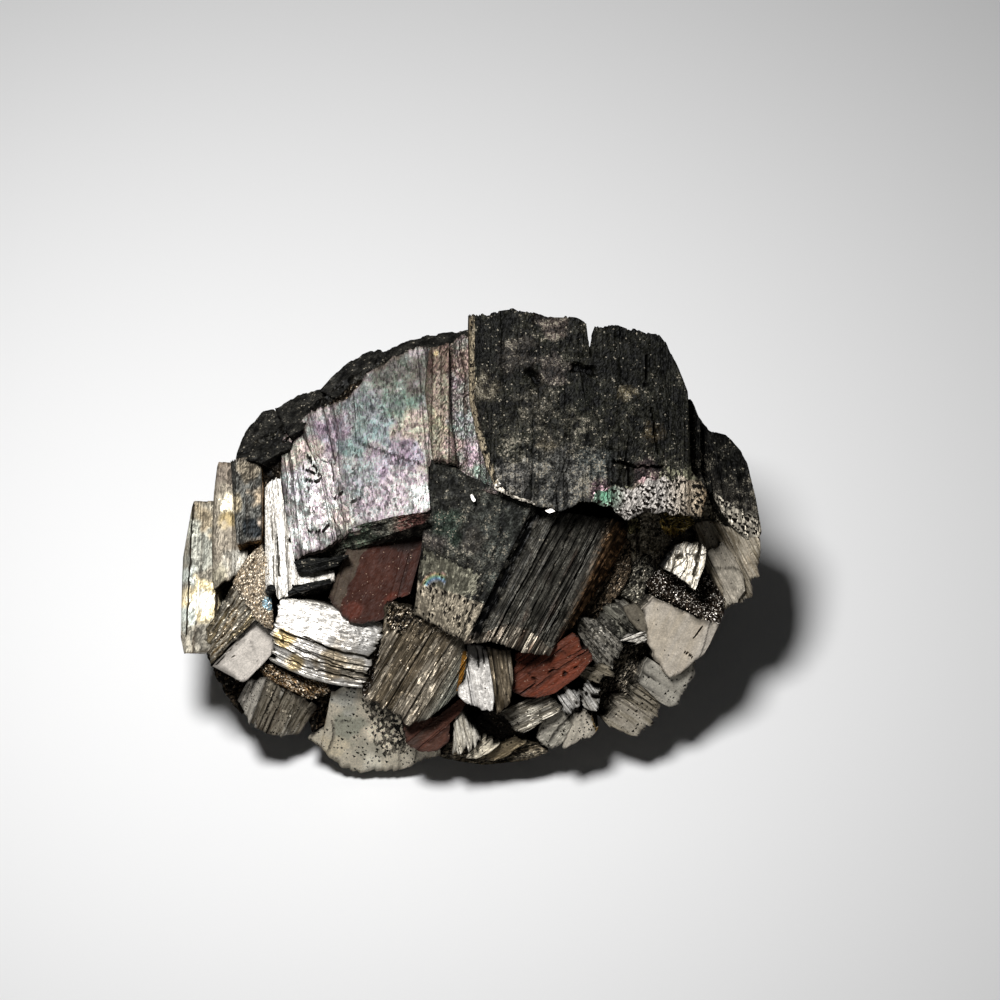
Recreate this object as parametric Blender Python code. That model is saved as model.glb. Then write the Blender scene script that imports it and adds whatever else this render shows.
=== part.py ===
"""Arsenopyrite specimen: blocky, striated crystals grown together on a rough matrix.

Everything is one solid, because the crystals grew into each other. It lies on the flat broken
face under its matrix. The crystals of the show face are laid out on a leaning plane: u runs
along the specimen, v up the face and w straight out of it, all in millimetres from the middle.
The crystals of the back are set round the matrix by bearing and height.
"""

import math
import random

import bmesh
import bpy
from mathutils import Matrix, Vector

MM = 0.001
FACE_LEAN = math.radians(35)  # between the show face's normal and straight up
FACE_MIDDLE = (-0.25, -4.1, 14.0)  # mm, from the middle of the foot's outline on the table
RISER_SHARE = 0.12  # of a ledge's run, taken up by its steep riser

FACE_TO_SPECIMEN = Matrix.Translation(FACE_MIDDLE) @ Matrix.Rotation(FACE_LEAN, 4, "X")


def slab_rings(outline, height, lean, root, taper=0.9):
    """The face of a crystal and its sunken back: a flat outline at a height, leaning along u and v."""
    middle = Vector([sum(p[i] for p in outline) / len(outline) for i in (0, 1)])
    face = [
        Vector((u, v, height + lean[0] * (u - middle.x) + lean[1] * (v - middle.y)))
        for u, v in outline
    ]
    centre = sum(face, Vector()) / len(face)
    back = [centre + (p - centre) * taper + Vector(root) for p in face]
    return [face, back]


def with_ledges(rings, ledges, seed):
    """Adds growth ledges: steps along a side of the outline that run the whole way from ring to ring."""
    dice = random.Random(seed)
    plans = {}
    for side, (count, rise) in ledges.items():
        cuts = [(step + dice.uniform(0.15, 0.75)) / count for step in range(count)]
        plans[side] = [(cut, dice.uniform(0.45, 1.0) * rise, RISER_SHARE / count) for cut in cuts]
    count = len(rings[0])
    stepped = []
    for ring, other in zip(rings, rings[1:] + rings[-2:-1]):
        centre = sum(ring, Vector()) / count
        along = sum(other, Vector()) / count - centre
        points = []
        for side in range(count):
            start, end = ring[side], ring[(side + 1) % count]
            points.append(start)
            outward = (end - start).cross(along).normalized()
            if outward.dot((start + end) / 2 - centre) < 0:
                outward.negate()
            for cut, rise, riser in plans.get(side, []):
                points.append(start.lerp(end, cut))
                points.append(start.lerp(end, cut + riser) + outward * rise)
        stepped.append(points)
    return stepped


def solid_from_rings(name, rings, to_specimen=FACE_TO_SPECIMEN, fanned_ends=False):
    """One closed crystal: sides from each ring to the next, and flat or fanned ends."""
    build = bmesh.new()
    loops = [[build.verts.new(to_specimen @ p * MM) for p in ring] for ring in rings]
    size = len(loops[0])
    for loop, following in zip(loops, loops[1:]):
        for i in range(size):
            j = (i + 1) % size
            build.faces.new((loop[i], loop[j], following[j]))
            build.faces.new((loop[i], following[j], following[i]))
    ends = [build.faces.new(loops[0]), build.faces.new(loops[-1])]
    if fanned_ends:
        bmesh.ops.poke(build, faces=ends)
    else:
        bmesh.ops.triangulate(build, faces=ends)
    bmesh.ops.recalc_face_normals(build, faces=build.faces[:])
    mesh = bpy.data.meshes.new(name)
    build.to_mesh(mesh)
    build.free()
    crystal = bpy.data.objects.new(name, mesh)
    bpy.context.scene.collection.objects.link(crystal)
    return crystal


def slab(name, height, lean, outline, root=(0, -2, -9), taper=0.9, ledges=None):
    rings = slab_rings(outline, height, lean, root, taper)
    return solid_from_rings(name, with_ledges(rings, ledges or {}, name))


def prism(name, *rings, ledges=None):
    rings = [[Vector(p) for p in ring] for ring in rings]
    return solid_from_rings(name, with_ledges(rings, ledges or {}, name), fanned_ends=True)


# ---- the show face, crystal by crystal --------------------------------------------------------


def great_crystal():
    """The largest crystal: a dark, thickly coated block at the upper right, split by a short cleft."""
    return [
        slab(
            "great_block",
            5.0,
            (-0.12, -0.28),
            [(0.1, 22.8), (2.0, 23.0), (4.2, 23.5), (7.5, 22.9), (10.7, 22.7), (11.6, 21.9),
             (11.9, 20.4), (12.4, 21.7), (14.2, 21.9), (16.8, 21.4), (18.8, 20.9), (19.5, 20.2),
             (20.7, 17.7), (21.7, 15.3), (21.9, 7.5), (23.6, 5.5), (22.9, 2.9), (17.0, 3.3),
             (15.6, 2.4), (14.0, 3.7), (11.5, 4.5), (9.0, 3.3), (6.5, 4.0), (4.5, 4.7),
             (2.7, 5.7), (1.7, 8.5), (0.8, 11.5), (0.2, 14.5)],
            root=(-4, -1, -12),
            ledges={2: (2, 0.2), 3: (2, 0.2), 8: (2, 0.2), 9: (2, 0.2), 12: (2, 0.2),
                    13: (3, 0.2), 14: (2, 0.2), 27: (3, 0.3)},
        ),
        slab(
            "great_block_step",
            2.2,
            (-0.2, -0.25),
            [(21.0, 15.6), (22.2, 14.3), (23.0, 12.4), (22.9, 7.5), (23.7, 5.2), (21.0, 5.0)],
            root=(-4, -1, -12),
        ),
        slab(
            "great_block_low_step",
            0.6,
            (-0.2, -0.25),
            [(21.5, 13.0), (22.9, 12.8), (23.9, 11.5), (23.8, 8.5), (24.2, 5.3), (22.0, 3.6)],
            root=(-4, -1, -9),
        ),
    ]


def right_lobe():
    """A dark rounded lobe beside the great crystal, and the bare fan of plates under it."""
    return [
        slab(
            "lobe",
            0.0,
            (-0.3, -0.15),
            [(23.4, 11.7), (24.2, 11.3), (25.6, 11.1), (26.2, 10.5), (27.1, 9.5), (27.8, 8.1),
             (28.2, 6.3), (28.7, 4.3), (29.0, 3.0), (29.3, 1.3), (28.7, 0.2), (27.5, 0.7),
             (26.5, 1.5), (25.2, 3.1), (24.3, 4.8), (23.6, 7.5)],
            root=(-6, -2, -10),
        ),
        slab(
            "fan",
            1.2,
            (-0.35, 0.15),
            [(22.7, 1.2), (23.6, 1.9), (25.2, 2.5), (26.7, 1.4), (28.7, 0.2), (29.0, -1.5),
             (29.0, -3.3), (28.2, -3.8), (28.2, -5.6), (27.0, -5.7), (26.3, -5.4), (25.7, -6.3),
             (25.2, -4.5), (24.7, -2.8), (23.4, -1.5)],
            root=(-5, 0, -9),
            ledges={4: (3, 0.25), 5: (3, 0.25)},
        ),
    ]


def peacock_crystal():
    """The iridescent crystal at the upper left: a fan of overlapping plates that steps down leftward."""
    root = (1, -5, -9)
    return [
        slab("peacock_valley", 5.0, (0.1, -0.3),
             [(-2.0, 20.0), (-0.8, 21.0), (0.6, 20.5), (0.8, 14.5), (1.6, 10.5), (2.6, 8.3),
              (3.4, 5.0), (1.0, 5.5), (-0.4, 6.7), (-1.7, 7.7), (-1.9, 10.5), (-2.5, 14.5)],
             root=root),
        slab("peacock_rib", 5.4, (0.0, -0.3),
             [(-4.0, 19.6), (-2.0, 20.2), (-2.2, 14.5), (-1.6, 10.5), (-1.1, 7.9), (-3.7, 8.5),
              (-4.0, 11.5), (-4.5, 15.5)],
             root=root),
        slab("peacock_face", 4.3, (0.18, -0.3),
             [(-10.4, 17.0), (-7.5, 18.8), (-5.0, 19.8), (-3.6, 19.5), (-3.5, 11.5), (-3.5, 8.5),
              (-4.6, 7.0), (-4.0, 5.0), (-3.8, 3.7), (-5.0, 3.1), (-7.0, 2.7), (-10.0, 2.4),
              (-11.6, 2.1), (-12.2, 4.5), (-13.0, 7.5), (-13.2, 10.5), (-12.9, 14.0), (-10.8, 16.0)],
             root=root),
        slab("peacock_plate_1", 3.7, (0.18, -0.3),
             [(-16.0, 13.3), (-12.5, 14.5), (-12.6, 10.5), (-12.3, 7.0), (-11.5, 4.0),
              (-11.2, 2.1), (-12.5, 1.3), (-13.4, 2.5), (-14.2, 5.5), (-15.4, 8.5), (-16.7, 11.0)],
             root=root),
        slab("peacock_plate_2", 3.2, (0.18, -0.32),
             [(-17.7, 11.7), (-16.0, 13.1), (-16.0, 10.5), (-14.8, 8.3), (-13.6, 5.3),
              (-12.7, 2.0), (-12.4, 1.2), (-14.8, 0.0), (-16.1, -0.4), (-16.9, 4.5), (-17.4, 8.5)],
             root=root),
        slab("peacock_plate_3", 2.8, (0.2, -0.34),
             [(-18.7, 10.8), (-17.5, 11.6), (-16.8, 8.0), (-16.3, 4.5), (-15.9, -0.6),
              (-17.3, -1.6), (-18.2, 2.5), (-18.9, 6.5)],
             root=root),
        slab("peacock_plate_4", 2.6, (0.2, -0.4),
             [(-20.5, 6.5), (-20.2, 8.3), (-18.7, 10.6), (-18.3, 6.5), (-17.6, 2.5),
              (-17.1, -1.8), (-15.5, -2.8), (-14.0, -3.2), (-17.0, -3.8), (-18.0, -4.8),
              (-19.1, -5.5), (-19.3, -4.0), (-20.3, -4.5), (-20.4, 0.5)],
             root=(1, -3, -9)),
    ]


def central_crystal():
    """The middle crystal: a steep prism whose long ridge runs down the face, striated right of it."""
    return [
        prism(
            "central_prism",
            [(-5.6, -6.6, -5), (-5.5, -6.7, 6.2), (-3.0, -8.1, 7.8), (-0.4, -9.6, 9.4),
             (2.3, -9.4, 8.7), (5.2, -10.5, 7.4), (7.7, -10.9, 5.4), (10.7, -7.4, 1.5),
             (10.7, -7.4, -5)],
            [(-3.9, 8.7, -5), (-3.8, 8.7, 6.2), (-0.3, 7.0, 6.9), (6.3, 4.1, 7.4),
             (9.5, 3.2, 6.3), (12.5, 2.8, 4.6), (15.4, 2.4, 2.2), (15.7, 0.2, -0.5),
             (15.7, 0.2, -5)],
            ledges={3: (2, 0.35), 4: (3, 0.4), 5: (3, 0.35), 6: (3, 0.3)},
        )
    ]


def left_plates():
    """Upright plates at the left end, each lower and further out than the last."""
    root = (0.5, -2, -8)
    return [
        slab("end_plate", -1.0, (0.2, -0.5),
             [(-28.0, 4.4), (-25.0, 4.4), (-24.6, -2.0), (-24.8, -8.0), (-26.0, -10.6),
              (-28.8, -10.0), (-28.6, -4.0)],
             root=(1.5, -1, -6), taper=0.95),
        slab("tan_plate", 0.5, (0.2, -0.35),
             [(-25.3, 8.2), (-23.8, 8.8), (-22.5, 4.0), (-21.5, -0.7), (-23.0, -3.2),
              (-25.4, -4.8), (-25.9, 0.0), (-25.7, 4.5)],
             root=root),
        slab("blue_plate", 2.2, (0.1, -0.25),
             [(-24.0, 8.7), (-20.4, 9.0), (-19.6, 6.5), (-20.0, 0.5), (-22.0, 0.1),
              (-23.4, 0.0), (-23.3, 3.0), (-24.0, 4.5)],
             root=(1, -4, -7)),
        slab("ramp_head", 3.6, (0.15, -0.2),
             [(-20.6, 0.3), (-20.0, -2.0), (-19.6, -6.0), (-19.4, -8.5), (-21.2, -7.4),
              (-23.6, -3.6), (-22.2, -1.2)],
             root=root),
        prism("ramp",
              [(-27.0, -9.2, -3), (-27.0, -9.5, 0.4), (-25.6, -11.8, 2.4), (-22.6, -13.7, 1.2),
               (-22.8, -13.9, -4)],
              [(-23.8, -3.2, -3), (-23.4, -3.6, 2.6), (-21.2, -7.3, 4.6), (-19.6, -8.9, 3.8),
               (-19.6, -9.0, -4)],
              ledges={1: (5, 0.3)}),
        slab("keel", -0.8, (0.1, -0.1),
             [(-26.8, -9.7), (-25.6, -11.9), (-24.2, -13.1), (-22.5, -13.8), (-23.2, -15.3),
              (-22.8, -17.0), (-24.2, -15.5), (-25.8, -12.5)],
             root=(4, 2, -6)),
    ]


def lower_left():
    """The lamellar block with curved layers, the small block under it and the pale pitted crystal."""
    return [
        prism("layered_block",
              [(-19.3, -5.5, -4), (-19.3, -5.5, 3.2), (-19.4, -7.5, 4.9), (-19.6, -9.3, 4.7),
               (-19.8, -11.3, 3.2), (-19.8, -11.3, -4)],
              [(-14.5, -5.0, -4), (-14.5, -5.0, 3.0), (-14.4, -8.4, 5.4), (-14.6, -11.0, 5.3),
               (-15.0, -13.4, 3.7), (-15.0, -13.4, -4)],
              [(-8.8, -6.4, -4), (-8.7, -6.4, 3.0), (-8.5, -7.9, 4.9), (-9.9, -11.0, 5.0),
               (-10.7, -14.4, 3.7), (-10.7, -14.4, -4)],
              ledges={2: (3, 0.35), 3: (4, 0.4)}),
        prism("corner_block",
              [(-23.3, -15.6, -4), (-23.2, -15.4, 0.6), (-21.9, -17.8, 2.2), (-19.5, -19.1, 1.4),
               (-17.0, -18.8, 0.2), (-17.0, -18.8, -4)],
              [(-22.3, -13.6, -4), (-22.2, -13.6, 1.2), (-20.2, -13.2, 3.2), (-17.5, -14.8, 2.6),
               (-15.2, -16.0, 1.2), (-15.2, -16.0, -4)],
              ledges={2: (3, 0.3), 3: (2, 0.3)}),
        slab("pale_crystal", 1.2, (0.0, 0.3),
             [(-13.8, -14.5), (-12.5, -14.1), (-9.2, -14.4), (-6.0, -15.5), (-4.0, -18.5),
              (-2.5, -21.0), (-4.5, -21.3), (-5.8, -22.1), (-7.5, -22.6), (-9.5, -22.5),
              (-11.0, -22.9), (-12.5, -22.4), (-14.0, -21.2), (-16.2, -19.2), (-13.5, -17.5),
              (-12.9, -16.1)],
             root=(2, 2, -8)),
        slab("shadowed_wedge", 0.4, (0.0, 0.1),
             [(-17.5, -13.3), (-13.5, -13.8), (-13.0, -16.0), (-13.8, -17.4), (-15.8, -18.8),
              (-16.5, -16.0)],
             root=(2, 2, -7)),
    ]


def lower_middle():
    """Small striated crystals below the central one, with three rust-red crystals between them."""
    return [
        slab("red_crystal", 3.5, (0.05, -0.1),
             [(-12.0, 0.2), (-9.8, 1.4), (-3.6, 3.6), (-4.6, 0.0), (-5.2, -2.5), (-5.8, -4.8),
              (-8.0, -5.5), (-8.4, -7.2), (-10.5, -7.7), (-12.0, -7.5), (-13.2, -6.3),
              (-14.0, -5.1), (-12.8, -2.0)],
             root=(-1, -1, -7)),
        slab("dark_flank", 3.3, (0.45, -0.1),
             [(-8.6, -5.5), (-7.2, -5.8), (-6.9, -8.0), (-7.6, -11.0), (-9.4, -14.2),
              (-10.6, -15.2), (-10.9, -13.5), (-9.6, -10.0), (-8.4, -7.8)],
             root=(0, 0, -8)),
        prism("brown_prism",
              [(-10.5, -15.0, -4), (-10.2, -15.2, 2.2), (-6.7, -16.3, 3.9), (-5.4, -17.6, 4.2),
               (-3.0, -16.2, 4.0), (-1.4, -14.6, 3.2), (-1.4, -14.6, -4)],
              [(-8.8, -5.0, -4), (-8.2, -5.6, 3.6), (-7.0, -6.8, 5.2), (-4.6, -7.6, 5.6),
               (-2.2, -8.8, 5.6), (-0.1, -9.9, 5.0), (0.2, -9.8, -4)],
              ledges={2: (2, 0.25), 3: (3, 0.3), 4: (2, 0.25)}),
        slab("white_crystal", 4.4, (0.1, 0.1),
             [(-0.4, -9.3), (1.0, -9.6), (1.8, -11.5), (2.1, -14.0), (2.7, -16.7), (1.0, -16.0),
              (-0.5, -15.2), (-1.3, -14.5), (-0.8, -12.0)],
             root=(0, 1, -8)),
        prism("white_crystal_side",
              [(1.9, -14.3, -4), (2.0, -14.0, 4.2), (3.0, -16.1, 3.8), (4.3, -15.5, 3.2),
               (4.4, -15.3, -4)],
              [(1.2, -9.0, -4), (1.2, -9.2, 4.8), (2.6, -9.6, 4.8), (4.2, -10.4, 4.0),
               (4.3, -10.2, -4)],
              ledges={1: (2, 0.2), 2: (2, 0.2)}),
        slab("red_wedge", 2.9, (-0.1, 0.1),
             [(4.2, -10.0), (7.5, -9.8), (9.2, -9.2), (10.3, -8.4), (11.3, -9.7), (12.0, -10.6),
              (12.9, -12.2), (10.8, -13.6), (8.5, -14.6), (6.5, -15.3), (4.5, -15.1),
              (4.0, -13.0)],
             root=(0, 1, -7)),
        slab("red_chip", 2.3, (0.0, 0.2),
             [(-6.7, -16.4), (-5.5, -17.2), (-2.8, -16.2), (-0.8, -15.1), (-0.4, -16.2),
              (-1.8, -17.3), (-1.8, -19.5), (-2.7, -20.4), (-5.0, -20.5), (-6.6, -19.7)],
             root=(0, 1, -7)),
        slab("striated_chip", 3.2, (0.0, 0.25),
             [(2.8, -16.0), (4.5, -15.2), (8.0, -14.7), (9.3, -15.7), (8.2, -16.7), (6.2, -17.7),
              (4.3, -18.4), (3.0, -17.0)],
             root=(0, 1, -8), ledges={5: (2, 0.2)}),
        slab("dark_chip", 1.6, (0.0, 0.1),
             [(0.3, -17.0), (2.5, -16.4), (4.0, -17.5), (5.8, -19.0), (4.8, -19.8), (3.0, -19.7),
              (1.0, -19.5)],
             root=(0, 2, -8)),
        slab("white_splinter", 2.3, (0.0, 0.25),
             [(-1.5, -16.7), (-0.7, -16.2), (0.1, -17.0), (1.1, -19.0), (0.9, -20.0),
              (-0.8, -21.2), (-2.1, -20.3), (-1.8, -18.5)],
             root=(0, 2, -6)),
        slab("white_wedge", 2.5, (0.1, 0.3),
             [(1.0, -19.2), (2.0, -18.9), (3.1, -19.7), (0.6, -21.3), (-0.9, -21.3)],
             root=(0, 2, -6)),
        slab("lower_rim", 0.9, (0.0, 0.2),
             [(3.0, -19.5), (5.0, -18.9), (7.2, -19.6), (7.9, -20.5), (5.0, -21.3), (1.5, -21.9),
              (-1.0, -21.5), (-3.0, -21.1), (-2.0, -19.5)],
             root=(0, 3, -7)),
        slab("white_fork", 3.3, (0.1, 0.1),
             [(8.3, -14.5), (9.6, -13.9), (10.7, -14.4), (11.3, -14.8), (11.0, -16.3),
              (9.8, -16.8), (9.0, -15.7)],
             root=(0, 1, -6)),
        slab("white_tooth", 2.7, (0.1, 0.1),
             [(11.2, -14.5), (12.0, -13.8), (12.8, -14.2), (13.0, -15.5), (12.6, -16.3),
              (11.4, -15.9)],
             root=(0, 1, -6)),
        slab("grey_chip", 2.2, (0.1, 0.2),
             [(7.1, -18.3), (8.2, -17.0), (9.8, -16.4), (10.5, -17.1), (10.1, -18.3),
              (9.4, -19.3), (8.0, -20.3), (7.0, -19.7)],
             root=(0, 2, -7)),
        slab("cream_chip", 2.4, (-0.1, 0.2),
             [(10.2, -17.3), (11.2, -16.7), (12.2, -17.1), (12.8, -18.2), (12.0, -19.3),
              (10.5, -19.7), (9.4, -20.1), (9.8, -19.0)],
             root=(0, 2, -7)),
    ]


def lower_right():
    """The bare silvery blocks of the lower right, round a deep dark cavity."""
    return [
        slab("cavity_floor", -1.6, (0.0, 0.0),
             [(14.5, 4.5), (19.0, 5.0), (25.0, 5.0), (25.5, 0.0), (24.0, -4.0), (19.0, -6.5),
              (14.5, -8.5), (12.5, -3.0)],
             root=(-2, 0, -8)),
        slab("brown_ledge", 0.3, (-0.2, 0.0),
             [(15.2, 1.5), (16.2, 0.0), (16.0, -3.0), (15.2, -4.7), (13.5, -6.3), (11.0, -7.6),
              (12.5, -3.0)],
             root=(0, 0, -6)),
        slab("cavity_wall", -0.2, (0.1, -0.1),
             [(15.8, 0.0), (18.0, -1.0), (18.6, -2.5), (17.6, -4.0), (17.1, -6.4), (15.1, -5.0)],
             root=(0, 0, -6)),
        slab("bright_tooth", 3.1, (0.23, -0.5),
             [(19.3, -2.3), (20.2, -0.8), (21.3, 0.4), (22.0, 0.2), (23.3, -0.1), (23.4, -1.7),
              (22.8, -3.5), (22.2, -4.5), (21.0, -3.5)],
             root=(-1, 0.5, -5), ledges={4: (1, 0.3)}),
        slab("glitter_bed", 1.1, (0.0, -0.35),
             [(17.5, -3.8), (18.7, -2.5), (21.0, -2.6), (23.4, -2.2), (24.9, -3.0), (25.3, -4.7),
              (25.3, -6.7), (24.9, -8.1), (23.0, -7.3), (19.5, -5.5), (18.0, -4.9)],
             root=(0, 0, -7)),
        slab("silver_face", 3.0, (-0.1, 0.25),
             [(17.0, -6.5), (18.3, -5.2), (19.5, -5.7), (23.0, -7.5), (24.7, -8.2),
              (24.2, -9.5), (23.2, -11.0), (22.2, -11.9), (21.0, -13.5), (19.5, -12.0),
              (17.5, -9.6)],
             root=(-2, 1, -9)),
        slab("silver_lower", 2.3, (-0.1, 0.2),
             [(17.5, -11.0), (19.0, -11.6), (20.6, -12.4), (22.1, -12.0), (21.6, -13.5),
              (20.8, -15.5), (19.8, -16.1), (18.2, -15.5), (17.0, -13.7)],
             root=(-2, 1, -9), ledges={7: (3, 0.2)}),
        slab("silver_foot", 2.1, (0.0, 0.15),
             [(13.3, -16.3), (13.8, -15.4), (15.5, -14.6), (17.0, -15.0), (18.5, -15.6),
              (19.0, -16.3), (18.3, -17.2), (17.7, -17.0), (17.1, -19.3), (15.0, -18.6),
              (13.0, -17.7)],
             root=(-2, 2, -9), ledges={2: (2, 0.2)}),
        slab("recess", 0.0, (0.1, 0.0),
             [(12.5, -12.5), (14.5, -10.0), (17.5, -9.5), (18.0, -11.5), (17.0, -14.0),
              (15.0, -15.5), (12.8, -17.0)],
             root=(-1, 1, -7)),
        slab("grey_face", 2.2, (0.1, 0.1),
             [(13.5, -6.3), (15.2, -5.2), (17.0, -6.6), (17.8, -8.5), (17.0, -9.3),
              (15.5, -9.5), (14.2, -8.5), (12.7, -7.5)],
             root=(0, 0, -7)),
        slab("grey_ramp", 1.7, (0.0, 0.15),
             [(10.5, -7.2), (12.7, -7.4), (14.5, -8.6), (15.4, -10.0), (14.2, -12.0),
              (13.0, -13.5), (11.5, -13.1), (12.7, -12.2), (11.8, -10.5), (10.6, -8.5)],
             root=(0, 0, -7), ledges={2: (2, 0.2)}),
    ]


def beds():
    """The grainy ground between the crystals, well below their faces."""
    return [
        slab("middle_bed", 0.5, (0.0, 0.03),
             [(-21.5, 8.0), (-12.0, 16.0), (-3.0, 19.0), (10.0, 19.0), (20.0, 13.0), (20.5, 4.5),
              (13.5, 3.0), (11.5, -4.0), (13.5, -9.0), (13.0, -14.0), (8.0, -17.0),
              (0.0, -18.5), (-7.0, -18.0), (-13.0, -16.0), (-20.5, -14.5), (-22.0, -8.0)],
             root=(0, 0, -9)),
        slab("upper_left_bed", 1.3, (0.15, -0.3),
             [(-22.5, 8.6), (-21.5, 10.6), (-17.5, 12.6), (-12.0, 16.9), (-7.0, 19.2),
              (0.5, 20.6), (0.5, 8.0), (-12.0, 3.0), (-21.0, 0.0)],
             root=(2, -4, -9)),
        slab("left_bed", 0.9, (0.2, -0.1),
             [(-23.6, 8.9), (-18.5, 9.5), (-17.0, -4.0), (-20.0, -10.0), (-24.5, -8.5),
              (-25.0, -2.0)],
             root=(2, 0, -8)),
        slab("lower_left_bed", 1.3, (0.0, 0.15),
             [(-21.5, -11.0), (-14.0, -12.0), (-9.0, -12.5), (-8.0, -17.0), (-13.5, -15.5),
              (-17.5, -15.0), (-21.0, -14.2)],
             root=(2, 2, -8)),
    ]


def back_rim():
    """Black crystal backs that show as lobes over the upper left edge."""
    root = (3, -3, -8)
    return [
        slab("rim_lobe_1", -0.8, (0.35, -1.1),
             [(-22.9, 10.5), (-22.4, 11.6), (-20.8, 13.5), (-19.8, 13.8), (-18.5, 12.9),
              (-17.3, 11.5), (-17.8, 9.8), (-20.6, 8.2), (-23.5, 8.7)],
             root=root),
        slab("rim_lobe_2", -0.7, (0.35, -1.3),
             [(-19.6, 13.7), (-17.0, 15.2), (-14.8, 15.6), (-12.6, 15.0), (-12.5, 13.8),
              (-15.5, 12.0), (-18.0, 10.8)],
             root=root),
        slab("rim_lobe_3", -2.0, (0.35, -1.1),
             [(-15.2, 15.4), (-13.5, 17.3), (-12.0, 18.5), (-10.2, 19.5), (-9.2, 19.6),
              (-8.2, 19.1), (-9.6, 16.4), (-12.6, 14.2)],
             root=root),
        slab("rim_lobe_4", -1.0, (0.1, -1.3),
             [(-8.8, 19.3), (-7.0, 20.2), (-4.5, 21.0), (-2.0, 21.4), (0.4, 21.7), (0.4, 19.2),
              (-5.0, 18.6), (-8.0, 17.6)],
             root=root),
    ]


def pits():
    """Cutters for the sunken pits in the great crystal and at the foot of the iridescent plates."""
    return [
        slab("great_pit_1", 6.5, (0.0, 0.0),
             [(5.7, 17.3), (6.4, 17.5), (7.0, 16.6), (7.1, 15.9), (6.2, 15.8), (5.6, 16.5)],
             root=(0.3, 0.2, -4.0), taper=0.6),
        slab("great_pit_2", 6.5, (0.0, 0.0),
             [(10.2, 18.0), (11.0, 18.2), (12.2, 17.6), (12.0, 17.1), (10.9, 17.2)],
             root=(0.2, 0.3, -3.9), taper=0.6),
        slab("plate_pit", 5.0, (0.0, 0.0),
             [(-20.4, -3.8), (-19.4, -3.7), (-19.3, -4.9), (-20.2, -5.1)],
             root=(0.2, 0.0, -4.5), taper=0.7),
    ]


# ---- matrix, back and foot --------------------------------------------------------------------

MATRIX_LAYERS = (  # height, half length, half depth, all in mm
    (-1.0, 18.5, 13.5),
    (2.5, 22.0, 15.5),
    (7.0, 21.5, 15.0),
    (11.5, 16.0, 10.5),
    (14.5, 8.0, 5.0),
)
MATRIX_CENTRE_Y = -1.6
MATRIX_SIDES = 13


def matrix():
    """The rough lump that the crystals stand on."""
    dice = random.Random("matrix")
    rings = []
    for height, half_length, half_depth in MATRIX_LAYERS:
        ring = []
        for side in range(MATRIX_SIDES):
            turn = math.tau * side / MATRIX_SIDES
            rough = dice.uniform(0.92, 1.08)
            ring.append(Vector((half_length * rough * math.cos(turn),
                                MATRIX_CENTRE_Y + half_depth * rough * math.sin(turn),
                                height)))
        rings.append(ring)
    return solid_from_rings("matrix", rings, Matrix())


BACK_CRYSTALS = (  # bearing, rise, reach, width, height, twist: degrees and millimetres
    (8, 10, 27.0, 12.0, 12.0, 12),
    (32, 14, 27.5, 14.0, 14.0, -24),
    (62, 10, 24.5, 15.0, 13.0, 8),
    (88, 16, 23.0, 13.0, 15.0, -14),
    (112, 8, 22.5, 13.0, 12.0, 22),
    (138, 14, 23.5, 14.0, 14.0, -10),
    (160, 8, 25.0, 12.0, 11.0, 16),
    (178, 4, 25.5, 10.0, 8.0, -8),
    (50, 38, 25.0, 11.0, 10.0, 30),
    (75, 36, 23.5, 12.0, 9.0, -20),
    (104, 40, 21.5, 10.0, 9.0, 35),
    (128, 34, 22.0, 11.0, 8.0, -28),
    (152, 30, 22.0, 9.0, 8.0, 20),
)
CHISEL_LENGTH = 3.5  # mm, the wedge that ends each of these crystals
CHISEL_WIDTH = 0.45  # of the crystal's own height, left at the end of the wedge
BACK_ROOT = (0.0, MATRIX_CENTRE_Y, 4.5)  # where their middle lines meet
BACK_SECTION = ((-1.0, -1.0), (1.0, -1.05), (0.95, 1.0), (-0.9, 0.95))


def back_crystals():
    """Chisel-ended blocks that crowd the far side of the matrix, with ledges along their sides."""
    made = []
    for number, (bearing, rise, reach, width, height, twist) in enumerate(BACK_CRYSTALS, 1):
        turn, lift, roll = (math.radians(a) for a in (bearing, rise, twist))
        out = Vector((math.cos(turn) * math.cos(lift), math.sin(turn) * math.cos(lift),
                      math.sin(lift)))
        level = out.cross(Vector((0, 0, 1))).normalized()
        steep = level.cross(out)
        across = level * math.cos(roll) + steep * math.sin(roll)
        up = steep * math.cos(roll) - level * math.sin(roll)
        rings = []
        for distance, spread_a, spread_b in ((reach, 0.85, CHISEL_WIDTH),
                                             (reach - CHISEL_LENGTH, 0.92, 0.95),
                                             (3.0, 1.0, 0.8)):
            rings.append([Vector(BACK_ROOT) + out * (distance + 0.6 * a - 0.4 * b)
                          + across * a * width / 2 * spread_a + up * b * height / 2 * spread_b
                          for a, b in BACK_SECTION])
        name = f"back_crystal_{number}"
        ledges = {0: (2, 0.2), 1: (2, 0.25), 2: (3, 0.25), 3: (3, 0.2)}
        rings = with_ledges(rings, ledges, name)
        made.append(solid_from_rings(name, rings, Matrix(), fanned_ends=True))
    return made


def broken_foot():
    """The block under the table's plane that the flat broken foot is cut by."""
    bpy.ops.mesh.primitive_cube_add(size=0.2, location=(0, 0, -0.1))
    cutter = bpy.context.object
    cutter.name = "foot_cutter"
    return cutter


# ---- joining ----------------------------------------------------------------------------------


def put_away(helpers, name):
    """Moves construction solids into a collection that isn't rendered."""
    store = bpy.data.collections.new(name)
    bpy.context.scene.collection.children.link(store)
    for helper in helpers:
        for owner in list(helper.users_collection):
            owner.objects.unlink(helper)
        store.objects.link(helper)
        helper.hide_render = True
        helper.display_type = "WIRE"
    store.hide_render = True
    return store


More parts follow.
